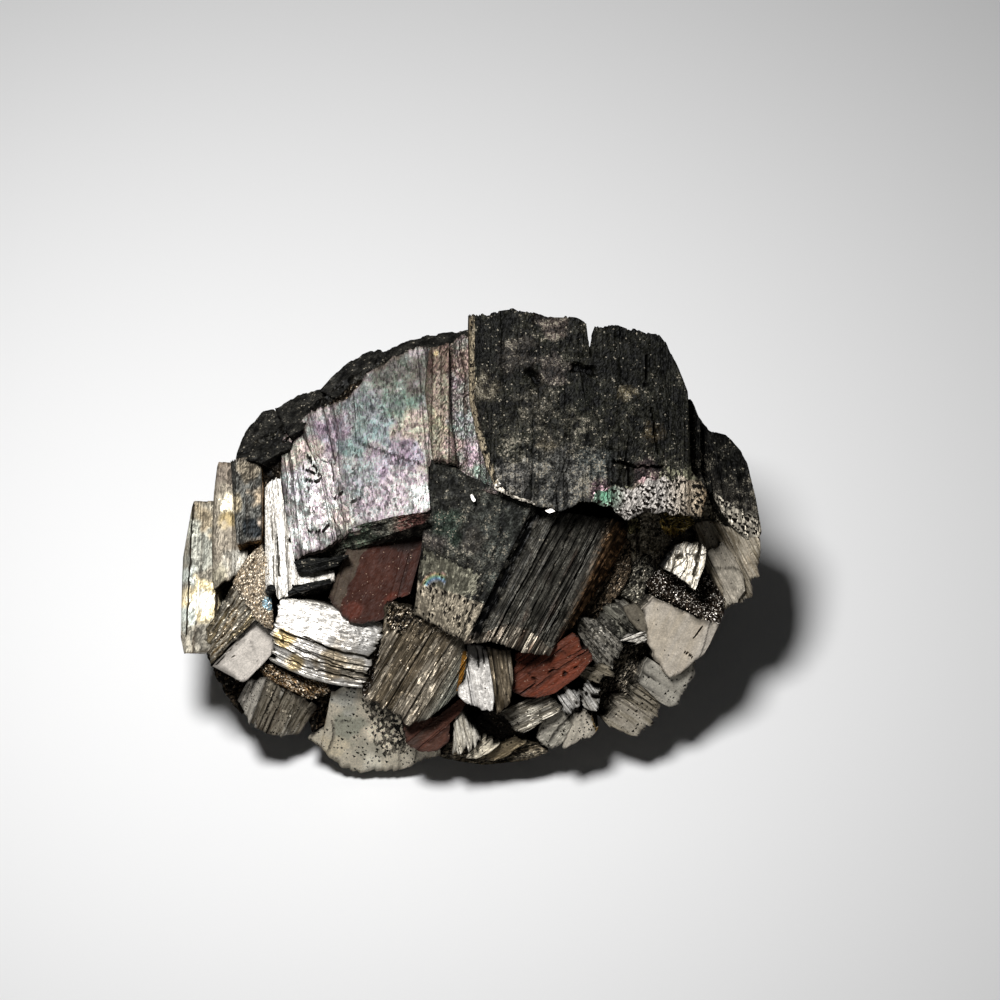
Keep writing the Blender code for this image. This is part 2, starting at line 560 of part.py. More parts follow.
def keep_outer_skin(mesh):
    """Deletes the skins of pockets that the joined crystals seal in, and any loose crumb."""
    build = bmesh.new()
    build.from_mesh(mesh)
    left = set(build.faces)
    shells = []
    while left:
        shell, edge_of = set(), [left.pop()]
        while edge_of:
            face = edge_of.pop()
            shell.add(face)
            for edge in face.edges:
                for near in edge.link_faces:
                    if near in left:
                        left.discard(near)
                        edge_of.append(near)
        shells.append(shell)
    largest = max(shells, key=lambda shell: sum(face.calc_area() for face in shell))
    spare = [face for shell in shells if shell is not largest for face in shell]
    bmesh.ops.delete(build, geom=spare, context="FACES")
    build.to_mesh(mesh)
    build.free()


def metal():
    material = bpy.data.materials.new("arsenopyrite")
    material.use_nodes = True
    shader = material.node_tree.nodes["Principled BSDF"]
    shader.inputs["Base Color"].default_value = (0.30, 0.29, 0.27, 1)
    shader.inputs["Metallic"].default_value = 0.9
    shader.inputs["Roughness"].default_value = 0.4
    return material


def main():
    for old in list(bpy.data.objects):
        bpy.data.objects.remove(old)
    specimen = matrix()
    specimen.name = "arsenopyrite"
    crystals = (great_crystal() + right_lobe() + peacock_crystal() + central_crystal()
                + left_plates() + lower_left() + lower_middle() + lower_right()
                + beds() + back_rim() + back_crystals())
    grown = put_away(crystals, "grown_together")
    join = specimen.modifiers.new("grow_together", "BOOLEAN")
    join.operation = "UNION"
    join.operand_type = "COLLECTION"
    join.collection = grown
    sink = specimen.modifiers.new("sunken_pits", "BOOLEAN")
    sink.operation = "DIFFERENCE"
    sink.operand_type = "COLLECTION"
    sink.collection = put_away(pits(), "pit_cutters")
    foot = specimen.modifiers.new("broken_foot", "BOOLEAN")
    foot.operation = "DIFFERENCE"
    foot.object = broken_foot()
    put_away([foot.object], "foot_cutters")
    graph = bpy.context.evaluated_depsgraph_get()
    joined = bpy.data.meshes.new_from_object(specimen.evaluated_get(graph))
    specimen.modifiers.clear()
    specimen.data = joined
    keep_outer_skin(joined)
    joined.materials.clear()
    joined.materials.append(metal())


main()
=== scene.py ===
"""Dresses the arsenopyrite specimen: every crystal as a fine mesh with its own growth lines and tarnish.

Lengths are in millimetres until a mesh is made. The show face is laid out on a leaning plane:
u runs along the specimen, v up the face and w straight out of it.
"""
import math

import bpy
import numpy as np
from mathutils import Matrix, Vector


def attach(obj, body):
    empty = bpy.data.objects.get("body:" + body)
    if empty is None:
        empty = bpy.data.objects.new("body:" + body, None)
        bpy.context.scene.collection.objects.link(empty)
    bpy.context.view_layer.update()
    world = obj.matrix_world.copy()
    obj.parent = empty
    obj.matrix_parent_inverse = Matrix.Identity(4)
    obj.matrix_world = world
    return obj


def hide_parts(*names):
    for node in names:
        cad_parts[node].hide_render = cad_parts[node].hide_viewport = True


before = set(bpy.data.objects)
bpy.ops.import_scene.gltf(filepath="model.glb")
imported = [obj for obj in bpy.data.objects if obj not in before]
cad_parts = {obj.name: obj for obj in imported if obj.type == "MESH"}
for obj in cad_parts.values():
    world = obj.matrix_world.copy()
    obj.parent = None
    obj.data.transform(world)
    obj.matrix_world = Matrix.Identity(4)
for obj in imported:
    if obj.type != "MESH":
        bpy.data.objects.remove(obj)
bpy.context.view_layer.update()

# ---- matrix ----------------------------------------------------------------------------------
# The rough lump of fine-grained ore that all the crystals grew from. It shows only as dark,
# glittering ground in the gaps between them, and as the flat broken foot that the piece lies on.

MM = 0.001
FACE_LEAN = 35  # degrees between the show face's normal and straight up
FACE_MIDDLE = (-0.25, -4.1, 14.0)  # from the middle of the foot's outline on the table
FACE_TO_SPECIMEN = (Matrix.Translation(FACE_MIDDLE)
                    @ Matrix.Rotation(math.radians(FACE_LEAN), 4, "X"))
TURN = np.array(FACE_TO_SPECIMEN.to_3x3())
SHIFT = np.array(FACE_TO_SPECIMEN.translation)

SOOT = (0.013, 0.0125, 0.010)
BROWN = (0.16, 0.12, 0.08)
WIDE, LONG = 61, 67  # after so many hills or blades the random patterns repeat


def drift(x, y, seed):
    """A smooth random field from -1 to 1, with hills one unit across."""
    hills = np.random.default_rng(seed).uniform(-1, 1, (WIDE, LONG))
    i, j = np.floor(x).astype(int), np.floor(y).astype(int)
    fx, fy = x - i, y - j
    fx, fy = fx * fx * (3 - 2 * fx), fy * fy * (3 - 2 * fy)
    i0, i1, j0, j1 = i % WIDE, (i + 1) % WIDE, j % LONG, (j + 1) % LONG
    low = hills[i0, j0] * (1 - fx) + hills[i1, j0] * fx
    high = hills[i0, j1] * (1 - fx) + hills[i1, j1] * fx
    return low * (1 - fy) + high * fy


def blades(a, b, run, reach, rise, seed):
    """Relief of overlapping blades about run wide, each tilted, and broken off about every reach."""
    dice = np.random.default_rng(seed)
    bent = a + 0.4 * run * drift(a / (3 * run), b / reach, seed + 1)
    count = max(3, int(np.ptp(a) / run) + 3)
    edges = np.sort(dice.uniform(a.min() - run, a.max() + run, count))
    blade = np.clip(np.searchsorted(edges, bent), 1, count - 1)
    share = np.clip((bent - edges[blade - 1]) / (edges[blade] - edges[blade - 1]), 0, 1)
    start, length = dice.uniform(0, reach, count), reach * dice.uniform(0.5, 1.7, count)
    slant = dice.uniform(-1.5, 1.5, count)
    part = (b + start[blade] + slant[blade] * share * run) / length[blade]
    level = dice.uniform(-1, 1, (WIDE, LONG))[blade % WIDE, np.floor(part).astype(int) % LONG]
    return rise * (0.7 * level + 0.6 * (share - 0.5))


def node(tree, kind, **settings):
    """A shader node with its settings, and its sockets fed by links or by plain values."""
    made = tree.nodes.new(kind)
    for name, value in settings.items():
        if name.startswith("in_"):
            socket = made.inputs[int(name[3:])]
            if isinstance(value, bpy.types.NodeSocket):
                tree.links.new(value, socket)
            else:
                socket.default_value = value
        else:
            setattr(made, name, value)
    return made


def maths(tree, operation, a, b=0.0, c=0.0):
    """One sum in the shader."""
    return node(tree, "ShaderNodeMath", operation=operation, in_0=a, in_1=b, in_2=c).outputs[0]


def blend(tree, amount, a, b, mode="MIX"):
    """Colour a turned into colour b, or multiplied by it, by an amount."""
    mix = node(tree, "ShaderNodeMix", data_type="RGBA", blend_type=mode, in_0=amount)
    for socket, value in ((mix.inputs[6], a), (mix.inputs[7], b)):
        if isinstance(value, bpy.types.NodeSocket):
            tree.links.new(value, socket)
        else:
            socket.default_value = (*value, 1)
    return mix.outputs[2]


def ramp(tree, amount, low, high):
    """0 below low and 1 above high."""
    return node(tree, "ShaderNodeMapRange", in_0=amount, in_1=low, in_2=high).outputs[0]


def noise(tree, source, stretch, detail=3.0, roughness=0.6):
    """Cloudy noise from 0 to 1, finer across the directions that stretch is large in."""
    scaled = node(tree, "ShaderNodeVectorMath", operation="MULTIPLY", in_0=source,
                  in_1=stretch).outputs[0]
    return node(tree, "ShaderNodeTexNoise", in_0=scaled, in_2=1.0, in_3=detail,
                in_4=roughness).outputs["Fac"]


def cells(tree, source, stretch, flat=False):
    """Angular cells: how far each one's middle is and which way, and a random colour for each."""
    scaled = node(tree, "ShaderNodeVectorMath", operation="MULTIPLY", in_0=source,
                  in_1=stretch).outputs[0]
    made = node(tree, "ShaderNodeTexVoronoi", distance="MANHATTAN", in_0=scaled, in_2=1.0,
                voronoi_dimensions="2D" if flat else "3D")
    aside = node(tree, "ShaderNodeVectorMath", operation="SUBTRACT", in_0=scaled,
                 in_1=made.outputs["Position"]).outputs[0]
    return made.outputs["Distance"], aside, made.outputs["Color"]


def pepper(tree, source, stretch, density, size, flat=False):
    """1 inside sharp little specks, scattered over a share of the cells; flat ones are wedges."""
    distance, aside, colour = cells(tree, source, stretch, flat)
    dice = node(tree, "ShaderNodeSeparateColor", in_0=colour)
    chosen = maths(tree, "LESS_THAN", dice.outputs[0], density)
    reach = maths(tree, "MULTIPLY_ADD", dice.outputs[1], size, size * 0.5)
    inside = maths(tree, "MULTIPLY", chosen, maths(tree, "LESS_THAN", distance, reach))
    if not flat:
        return inside
    lower = node(tree, "ShaderNodeVectorMath", operation="DOT_PRODUCT", in_0=aside,
                 in_1=(0.2, 1.0, 0.0)).outputs["Value"]
    return maths(tree, "MULTIPLY", inside, maths(tree, "LESS_THAN", lower, 0.06))


def growth_lines(tree, fine, broad, streak, level):
    """1 on raised metal, less in the grooves between growth lines, and least in deep hollows, by painted
    shade.
    """
    lines = maths(tree, "MULTIPLY_ADD", fine, 0.6, maths(tree, "MULTIPLY", broad, 0.4))
    lines = maths(tree, "MULTIPLY_ADD", ramp(tree, lines, 0.42, 0.56), streak, 1.0 - streak)
    return maths(tree, "MULTIPLY", lines, level)


def coat_edge(tree, grain, cover, mottle, jag, teeth):
    """Above 0 where the dark coat lies. It stops in small angular teeth."""
    _, _, shape = cells(tree, grain, teeth, True)
    edge = node(tree, "ShaderNodeSeparateColor", in_0=shape).outputs[0]
    edge = maths(tree, "MULTIPLY_ADD", maths(tree, "SUBTRACT", edge, 0.5), 1.4 * jag, cover)
    return maths(tree, "MULTIPLY_ADD", maths(tree, "SUBTRACT", mottle, 0.5), 1.8 * jag, edge)


def dark_coat(tree, spot, tint, cover, fine, mottle, grit, streak, coat, pale):
    """Soot: near black where it is thick, stained by the tint where thin, with pale flakes."""
    patches = ramp(tree, noise(tree, spot, (0.3, 0.3, 0.3), 5.0, 0.65), 0.40, 0.62)
    light = maths(tree, "MULTIPLY", ramp(tree, grit, 0.42, 0.62), ramp(tree, mottle, 0.40, 0.60))
    light = maths(tree, "MULTIPLY", light, maths(tree, "MULTIPLY_ADD", patches, 4.5, 2.2))
    light = maths(tree, "MULTIPLY_ADD", fine, 2.0 * streak, light)
    stain = blend(tree, 1.0, tint, (0.08, 0.08, 0.08), "MULTIPLY")
    soot = blend(tree, ramp(tree, cover, 5.0, 0.0), coat, stain)
    soot = blend(tree, 1.0, soot, light, "MULTIPLY")
    flock = maths(tree, "MULTIPLY", ramp(tree, mottle, 0.48, 0.62), patches)
    flock = maths(tree, "MULTIPLY", flock, node(tree, "ShaderNodeRGBToBW", in_0=tint).outputs[0])
    share = maths(tree, "MULTIPLY_ADD", flock, pale * 3.2, 0.012)
    flakes = pepper(tree, spot, (6.5, 6.5, 6.5), share, 0.72)
    return blend(tree, flakes, soot, blend(tree, grit, (0.03, 0.03, 0.02), (0.52, 0.46, 0.36)))


def turned_grains(tree, grain, height, bump, facet):
    """The skin's normals, with every grain and every blade turned a little its own way."""
    across, along, tilt = facet
    relief = node(tree, "ShaderNodeBump", in_0=bump, in_1=0.0002)
    tree.links.new(height, relief.inputs["Height"])
    turned = relief.outputs[0]
    for stretch, turn in (((across, along, 1.0), tilt),
                          ((across * 0.25, along * 0.2, 1.0), tilt * 0.45)):
        _, _, turns = cells(tree, grain, stretch, True)
        turns = node(tree, "ShaderNodeVectorMath", operation="SUBTRACT", in_0=turns,
                     in_1=(0.5, 0.5, 0.5)).outputs[0]
        turned = node(tree, "ShaderNodeVectorMath", operation="MULTIPLY_ADD", in_0=turns,
                      in_1=(turn,) * 3, in_2=turned).outputs[0]
    return node(tree, "ShaderNodeVectorMath", operation="NORMALIZE", in_0=turned).outputs[0]


def ore(name, metallic=0.75, roughness=0.42, specular=0.12, streak=0.6, groove=(0.012, 0.010, 0.008),
        facet=(5.0, 1.8, 0.34), bump=0.1, film=None, dots=0.1, dot=(3.4, 3.0, 1.0), speck=0.28,
        glitter=0.0, spark=(0.80, 0.70, 0.56), coat=SOOT, pale=0.3, jag=0.5, teeth=(4.5, 3.5, 1.0)):
    """Ore with growth streaks, dark specks and, where cover is above 0, a mottled dark coat."""
    material = bpy.data.materials.new(name)
    material.use_nodes = True
    tree = material.node_tree
    shader = tree.nodes["Principled BSDF"]
    grain, spot = (node(tree, "ShaderNodeAttribute", attribute_name=mark).outputs["Vector"]
                   for mark in ("grain", "spot"))
    cover, hollow = (node(tree, "ShaderNodeAttribute", attribute_name=mark).outputs["Fac"]
                     for mark in ("cover", "hollow"))
    tint = node(tree, "ShaderNodeAttribute", attribute_name="tint").outputs["Color"]
    fine = noise(tree, grain, (8.0, 0.5, 1.0))
    broad = noise(tree, grain, (2.2, 0.2, 1.0))
    mottle = noise(tree, spot, (0.9, 0.9, 0.9), 6.0, 0.7)
    grit = noise(tree, spot, (6.0, 6.0, 6.0), 4.0, 0.75)
    # level: the painted shade of hollows, edges and pits, which darkens both the metal and the soot
    level = maths(tree, "SUBTRACT", 1.0, hollow)
    # bare metal
    cloud = maths(tree, "MULTIPLY_ADD", mottle, 1.1, 0.45)
    cloud = maths(tree, "MULTIPLY", cloud, maths(tree, "MULTIPLY_ADD", grit, 1.5, 0.25))
    bare = blend(tree, 1.0, tint, cloud, "MULTIPLY")
    if film:
        bare = film(tree, bare, mottle, grit)
    bare = blend(tree, growth_lines(tree, fine, broad, streak, level), groove, bare)
    # dark specks, on pale metal only
    light = node(tree, "ShaderNodeRGBToBW", in_0=tint).outputs[0]
    crowd = maths(tree, "MULTIPLY", ramp(tree, mottle, 0.35, 0.6), dots)
    crowd = maths(tree, "MULTIPLY", crowd, ramp(tree, light, 0.16, 0.30))
    bare = blend(tree, pepper(tree, grain, dot, crowd, speck, True), bare, groove)
    if glitter:
        glints = pepper(tree, spot, (7.5, 7.5, 7.5), glitter, 0.45 + 0.5 * glitter)
        bare = blend(tree, glints, bare, spark)
    # coat over the metal
    soot = dark_coat(tree, spot, tint, cover, fine, mottle, grit, streak, coat, pale)
    soot = blend(tree, 1.0, soot, level, "MULTIPLY")
    edge = coat_edge(tree, grain, cover, mottle, jag, teeth)
    coated = maths(tree, "GREATER_THAN", edge, 0.0)
    tree.links.new(blend(tree, coated, bare, soot), shader.inputs["Base Color"])
    tree.links.new(maths(tree, "MULTIPLY_ADD", coated, -0.8 * metallic, metallic),
                   shader.inputs["Metallic"])
    tree.links.new(maths(tree, "MULTIPLY_ADD", grit, 0.3, roughness - 0.15),
                   shader.inputs["Roughness"])
    shader.inputs["Specular IOR Level"].default_value = specular
    height = maths(tree, "MULTIPLY_ADD", fine, streak, grit)
    tree.links.new(turned_grains(tree, grain, height, bump, facet), shader.inputs["Normal"])
    return material


def piece(name, parts, material):
    """Joins finished crystals in one mesh of one material that rides and stands for the specimen."""
    # grain and spot say where along the blades and in the rock a point lies, for its marks; tint is
    # its colour, cover how thick the coat lies on it and hollow how much painted shade it gets
    points, faces, marks = [], [], {"grain": [], "spot": [], "tint": [], "cover": [], "hollow": []}
    start = 0
    for part in parts:
        points.append(part["points"])
        faces.extend((f + start).tolist() for f in part["faces"])
        for mark, values in marks.items():
            values.append(part[mark])
        start += len(part["points"])
    points = np.concatenate(points)
    mesh = bpy.data.meshes.new(name)
    mesh.from_pydata((points * MM).tolist(), [], [f for group in faces for f in group])
    for mark, kind, field in (("grain", "FLOAT_VECTOR", "vector"), ("spot", "FLOAT_VECTOR", "vector"),
                              ("tint", "FLOAT_COLOR", "color"), ("cover", "FLOAT", "value"),
                              ("hollow", "FLOAT", "value")):
        layer = mesh.attributes.new(mark, kind, "POINT")
        layer.data.foreach_set(field, np.concatenate(marks[mark]).astype(np.float32).ravel())
    mesh.materials.append(material)
    made = bpy.data.objects.new(name, mesh)
    bpy.context.scene.collection.objects.link(made)
    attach(made, "root")
    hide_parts("arsenopyrite")
    return made


def lump(layers, centre_y, seed, tint, cover):
    """A rough closed lump through a pile of ovals, pitted all over."""
    heights = [z for z, _, _ in layers]
    rows, size = 50, 200
    levels = np.linspace(heights[0], heights[-1], rows)
    turns = np.linspace(0, math.tau, size, endpoint=False)
    turn, z = np.meshgrid(turns, levels)
    half_x = np.interp(z, heights, [x for _, x, _ in layers])
    half_y = np.interp(z, heights, [y for _, _, y in layers])
    rough = 1 + 0.05 * drift(turn * 3, z * 0.35, seed) + 0.012 * drift(turn * 30, z * 2, seed + 1)
    x, y = half_x * rough * np.cos(turn), centre_y + half_y * rough * np.sin(turn)
    points = np.stack([x, y, np.maximum(z, 0.0)], -1).reshape(-1, 3)
    points = np.vstack([points, [[0, centre_y, 0.0]], [[0, centre_y, heights[-1]]]])
    index = np.arange(rows * size).reshape(rows, size)
    following = np.roll(index, -1, axis=1)
    sides = np.stack([index[:-1], following[:-1], following[1:], index[1:]], -1).reshape(-1, 4)
    foot = np.stack([following[0], index[0], np.full(size, rows * size)], -1)
    top = np.stack([index[-1], following[-1], np.full(size, rows * size + 1)], -1)
    count = len(points)
    return {"points": points, "faces": [sides, foot, top],
            "grain": np.stack([np.append(turn, (0, 0)) * 18, points[:, 2], points[:, 2] * 0], -1),
            "spot": points * 1.0, "tint": np.tile((*tint, 1), (count, 1)),
            "cover": np.full(count, cover), "hollow": np.zeros(count)}


MATRIX_LAYERS = ((0.0, 18.7, 13.7), (2.5, 22.0, 15.5), (7.0, 21.5, 15.0), (11.5, 16.0, 10.5),
                 (14.5, 8.0, 5.0))
granular = ore("granular_ore", streak=0.2, dots=0.4, glitter=0.12, jag=0.8, facet=(5.0, 5.0, 0.7))
piece("matrix", [lump(MATRIX_LAYERS, -1.6, 11, BROWN, 0.3)], granular)

# ---- great crystal ---------------------------------------------------------------------------
# The largest crystal, a block of arsenopyrite 22 mm across, thickly coated with soot-black
# tarnish. The coat stops in a ragged line near its lower right edge, where bare silvery metal
# shows. Like every other crystal it is rooted in the matrix, with nothing to hold it there.

PALE = (0.50, 0.46, 0.385)
WALL_ROWS = 8
WALL_GRAIN = 40  # the marks of a wall come from another part of the noise than those of its face
SEED_GRAIN = 3.7  # and so do those of each crystal


def combed(outline, bearing, pitch):
    """The two rails that straight striations at a bearing run between, inside an outline."""
    turn = math.radians(bearing)
    along = np.array((math.cos(turn), math.sin(turn)))
    across = np.array((math.sin(turn), -math.cos(turn)))
    corners = np.array(outline, float)
    t, s = corners @ across, corners @ along
    t2, s2 = np.roll(t, -1), np.roll(s, -1)
    places = np.arange(t.min() + 0.03, t.max() - 0.03, pitch)
    near, far = [], []
    for place in places:
        hit = (t - place) * (t2 - place) < 0
        reach = s[hit] + (s2 - s)[hit] * (place - t[hit]) / (t2 - t)[hit]
        near.append(reach.min())
        far.append(reach.max())
    return [across * places[:, None] + along * np.array(r)[:, None] for r in (near, far)]


def frayed(rails, fray, seed):
    """Makes the ends of the striations ragged, each blade a little longer or shorter."""
    way = rails[-1] - rails[0]
    length = np.linalg.norm(way, axis=1)
    way = way / np.maximum(length, 1e-6)[:, None]
    place = np.concatenate(([0], np.cumsum(np.linalg.norm(np.diff(rails[0], axis=0), axis=1))))
    for end, sign in ((0, 1), (-1, -1)):
        shift = fray * (drift(place * 1.3, place * 0, seed + sign)
                        + blades(place, place * 0, 0.4, 1.0, 1.3, seed + 3 + sign))
        shift = np.clip(shift, -fray, np.maximum(length / 2 - 0.05, 0))
        rails[end] = rails[end] + way * (sign * shift)[:, None]
    return rails


def gash_depth(u, v, gash, seed):
    """How deep a spot lies in an angular pit or crack from one point to another: 0 to 1."""
    u0, v0, u1, v1, radius = gash
    u = u + (0.6 * radius + 0.06) * drift(u * 1.7, v * 1.7, seed + 1)
    v = v + (0.6 * radius + 0.06) * drift(u * 1.7, v * 1.7, seed + 2)
    span = np.array((u1 - u0, v1 - v0))
    share = np.clip(((u - u0) * span[0] + (v - v0) * span[1]) / max(span @ span, 1e-9), 0, 1)
    du, dv = u - u0 - share * span[0], v - v0 - share * span[1]
    near = np.maximum(np.abs(du + 0.4 * dv), np.abs(dv - 0.4 * du))
    near = near + 0.5 * radius * drift(u * 3, v * 3, seed)
    return np.clip(1.5 - near / radius, 0, 1)


def streaky(tints, a, b, seed, u=None, v=None):
    """One colour, several that run into one another along the streaks, or a colour by place."""
    if callable(tints):
        return tints(u, v)
    tints = np.atleast_2d(np.array(tints, float))
    mix = drift(a * 0.8, b * 0.12, seed) + 0.6 * drift(a * 2.7, b * 0.4, seed + 1)
    mix = mix + 0.5 * drift(a * 7.0, b * 0.7, seed + 2)
    place = np.clip((mix + 1.1) / 2.2, 0, 1) * (len(tints) - 1)
    return np.stack([np.interp(place, range(len(tints)), t) for t in tints.T], -1)


def respaced(rails, pitch):
    """Rails with a point about every pitch, and how far across the face each point lies."""
    gaps = np.mean([np.linalg.norm(np.diff(r, axis=0), axis=1) for r in rails], axis=0)
    place = np.concatenate(([0], np.cumsum(gaps)))
    across = np.linspace(0, place[-1], max(4, int(place[-1] / pitch)) + 1)
    return [np.stack([np.interp(across, place, r[:, i]) for i in range(3)], 1) for r in rails], across


def spanned(rails, step):
    """The face between two rails, or bowed through a third, and how far along each point lies."""
    length = np.linalg.norm(rails[-1] - rails[0], axis=1).max()
    f = np.linspace(0, 1, max(3, int(length / step)) + 1)[None, :, None]
    if len(rails) == 2:
        grid = rails[0][:, None] * (1 - f) + rails[1][:, None] * f
    else:
        grid = (rails[0][:, None] * (2 * f - 1) * (f - 1) + rails[1][:, None] * 4 * f * (1 - f)
                + rails[2][:, None] * f * (2 * f - 1))
    return grid, f[..., 0]


def normals(grid):
    """Which way each point of a face looks, on its outer side."""
    normal = np.cross(np.gradient(grid, axis=0), np.gradient(grid, axis=1))
    normal /= np.linalg.norm(normal, axis=2, keepdims=True) + 1e-9
    return -normal if normal[..., 2].mean() < 0 else normal


def hollows(rise, relief, u, v, edge, grime, seed):
    """How much painted shade each spot gets, 0 to 1: in the hollows between blades, and along the edge."""
    smooth = sum(np.roll(rise, k, axis=0) for k in range(-4, 5)) / 9
    hollow = np.clip((smooth - rise) / (sum(scale[2] for scale in relief) + 1e-6) * 1.6, 0, 0.85)
    shade_width = 0.30 + 0.34 * drift(u * 1.4, v * 1.4, seed + 6)
    return np.maximum(hollow, grime * np.clip(1.2 - edge / np.maximum(shade_width, 0.02), 0, 1))


def sunk_walls(rim, root, ledge, shrink, seed):
    """Ledged walls from a rim along root: points, way around, depth and how far pushed out."""
    out = np.cross(np.roll(rim, -3, axis=0) - np.roll(rim, 3, axis=0), root)
    out /= np.linalg.norm(out, axis=1, keepdims=True) + 1e-9
    spread = rim - rim.mean(axis=0)
    if (out * spread).sum() < 0:
        out = -out
    way = np.concatenate(([0], np.cumsum(np.linalg.norm(np.diff(rim, axis=0), axis=1))))
    sink = np.linspace(0, 1, WALL_ROWS + 1)[1:, None] ** 1.4
    depth = np.broadcast_to(sink * np.linalg.norm(root), (WALL_ROWS, len(rim)))
    around = np.broadcast_to(way, depth.shape)
    push = blades(around, depth, 0.6, 3.0, ledge, seed + 12) * np.minimum(1, depth * 2)
    walls = rim + spread * ((shrink - 1) * sink[..., None]) + root * sink[..., None]
    return walls + out * push[..., None], around, depth, push


def crystal(rails, root, seed, tint=PALE, cover=-9.0, relief=((1.2, 6.0, 0.07), (0.3, 2.5, 0.03)),
            strong=None, grit=0.012, fray=0.12, gashes=(), deep=1.0, grime=0.75, pitch=0.11,
            step=0.22, ledge=0.1, shrink=0.9, wall_tint=None, wall_cover=0.6):
    """One crystal: striations from rail to rail with growth relief, and walls sunk along root."""
    rails, across = respaced([np.asarray(r, float) for r in rails], pitch)
    rails = frayed(rails, fray, seed)
    grid, share = spanned(rails, step)
    way = (rails[-1] - rails[0]).mean(axis=0)
    a = np.broadcast_to(across[:, None], grid.shape[:2])
    b = grid @ (way / np.linalg.norm(way))
    u, v = grid[..., 0], grid[..., 1]
    # relief of the face
    rise = sum(blades(a, b, *scale, seed + 10 * k) for k, scale in enumerate(relief, 1))
    if strong is not None:
        rise = rise * strong(u, v)
    reach = np.linalg.norm(rails[-1] - rails[0], axis=1)[:, None]
    edge = np.minimum(np.minimum(a, a.max() - a), np.minimum(share, 1 - share) * reach)
    hollow = hollows(rise, relief, u, v, edge, grime, seed)
    dust = np.random.default_rng(seed).uniform(-1, 1, u.shape)
    rise = rise + grit * (0.6 * dust + drift(u * 4.1, v * 4.1, seed + 8))
    # pits and cracks are sunk, and darkened with painted shade as well
    for gash in gashes:
        dent = gash_depth(u, v, gash, seed + 9)
        rise = rise - deep * dent
        hollow = np.maximum(hollow, dent)
    grid = grid + normals(grid) * rise[..., None]
    # face, walls and root closed into one skin
    base = rise.size
    index = np.arange(base).reshape(rise.shape)
    cap = np.stack([index[:-1, :-1], index[1:, :-1], index[1:, 1:], index[:-1, 1:]], -1)
    loop = np.concatenate([index[:, 0], index[-1, 1:], index[-2::-1, -1], index[0, -2:0:-1]])
    rim = grid.reshape(-1, 3)[loop]
    root = np.array(root, float)
    walls, around, depth, push = sunk_walls(rim, root, ledge, shrink, seed)
    last = base + depth.size
    ring = np.vstack([loop, np.arange(base, last).reshape(depth.shape)])
    following = np.roll(ring, -1, axis=1)
    sides = np.stack([ring[:-1], ring[1:], following[1:], following[:-1]], -1).reshape(-1, 4)
    bottom = np.stack([following[-1], ring[-1], np.full(len(loop), last)], -1)
    points = np.vstack([grid.reshape(-1, 3), walls.reshape(-1, 3), rim.mean(axis=0) + root])
    # colour, coat and grain of every point
    tints = np.ones((last + 1, 4))
    tints[:base, :3] = streaky(tint, a, b, seed + 20, u, v).reshape(-1, 3)
    wall_tint = wall_tint or (PALE if callable(tint) else tint)
    tints[base:last, :3] = streaky(wall_tint, around, depth, seed + 21).reshape(-1, 3)
    # Walls take the dark coat unless told otherwise: the crystal's own soot where it is sooty, and painted
    # shade for the dark gaps between clean crystals.
    covered = np.full(last + 1, 0.6)
    covered[:base] = (cover(u, v) if callable(cover) else np.full(u.shape, cover)).ravel()
    covered[base:last] = (wall_cover(walls[..., 0], walls[..., 1]).ravel() if callable(wall_cover)
                          else wall_cover)
    grain = np.zeros((last + 1, 3))
    grain[:base, 0], grain[:base, 1] = a.ravel(), b.ravel()
    grain[base:last, 0], grain[base:last, 1] = around.ravel() + WALL_GRAIN, depth.ravel()
    # hollow is painted shade: in the face's hollows and pits, on the walls' sunken steps and at the root
    low = np.concatenate([hollow.ravel(), np.clip(-push / (ledge + 0.01), 0, 0.7).ravel(), [0.5]])
    world = points @ TURN.T + SHIFT
    world[:, 2] = np.maximum(world[:, 2], 0.0)
    return {"points": world, "faces": [cap.reshape(-1, 4), sides, bottom],
            "grain": grain + (0, 0, seed * SEED_GRAIN), "spot": points, "tint": tints,
            "cover": covered, "hollow": low}


def slab(outline, bearing, height, lean, root, seed, pitch=0.11, **finish):
    """A crystal whose face is flat: an outline at a height, leaning along u and v."""
    middle = np.mean(np.array(outline, float), axis=0)
    rails = [np.column_stack([rail, height + (rail - middle) @ np.array(lean)])
             for rail in combed(outline, bearing, pitch)]
    return crystal(rails, root, seed, pitch=pitch, **finish)


def patched(base, patches, u, v, seed):
    """One colour overlaid by soft-edged patches of others: across, up, size and colour of each."""
    shade = np.tile(np.array(base, float), (*u.shape, 1))
    for k, (x, y, size, colour) in enumerate(patches):
        far = np.hypot(u - x, v - y) / size + 0.5 * drift(u * 1.3, v * 1.3, seed + k)
        share = np.clip((1.25 - far) * 2, 0, 1)[..., None]
        shade = shade * (1 - share) + np.array(colour) * share
    return shade


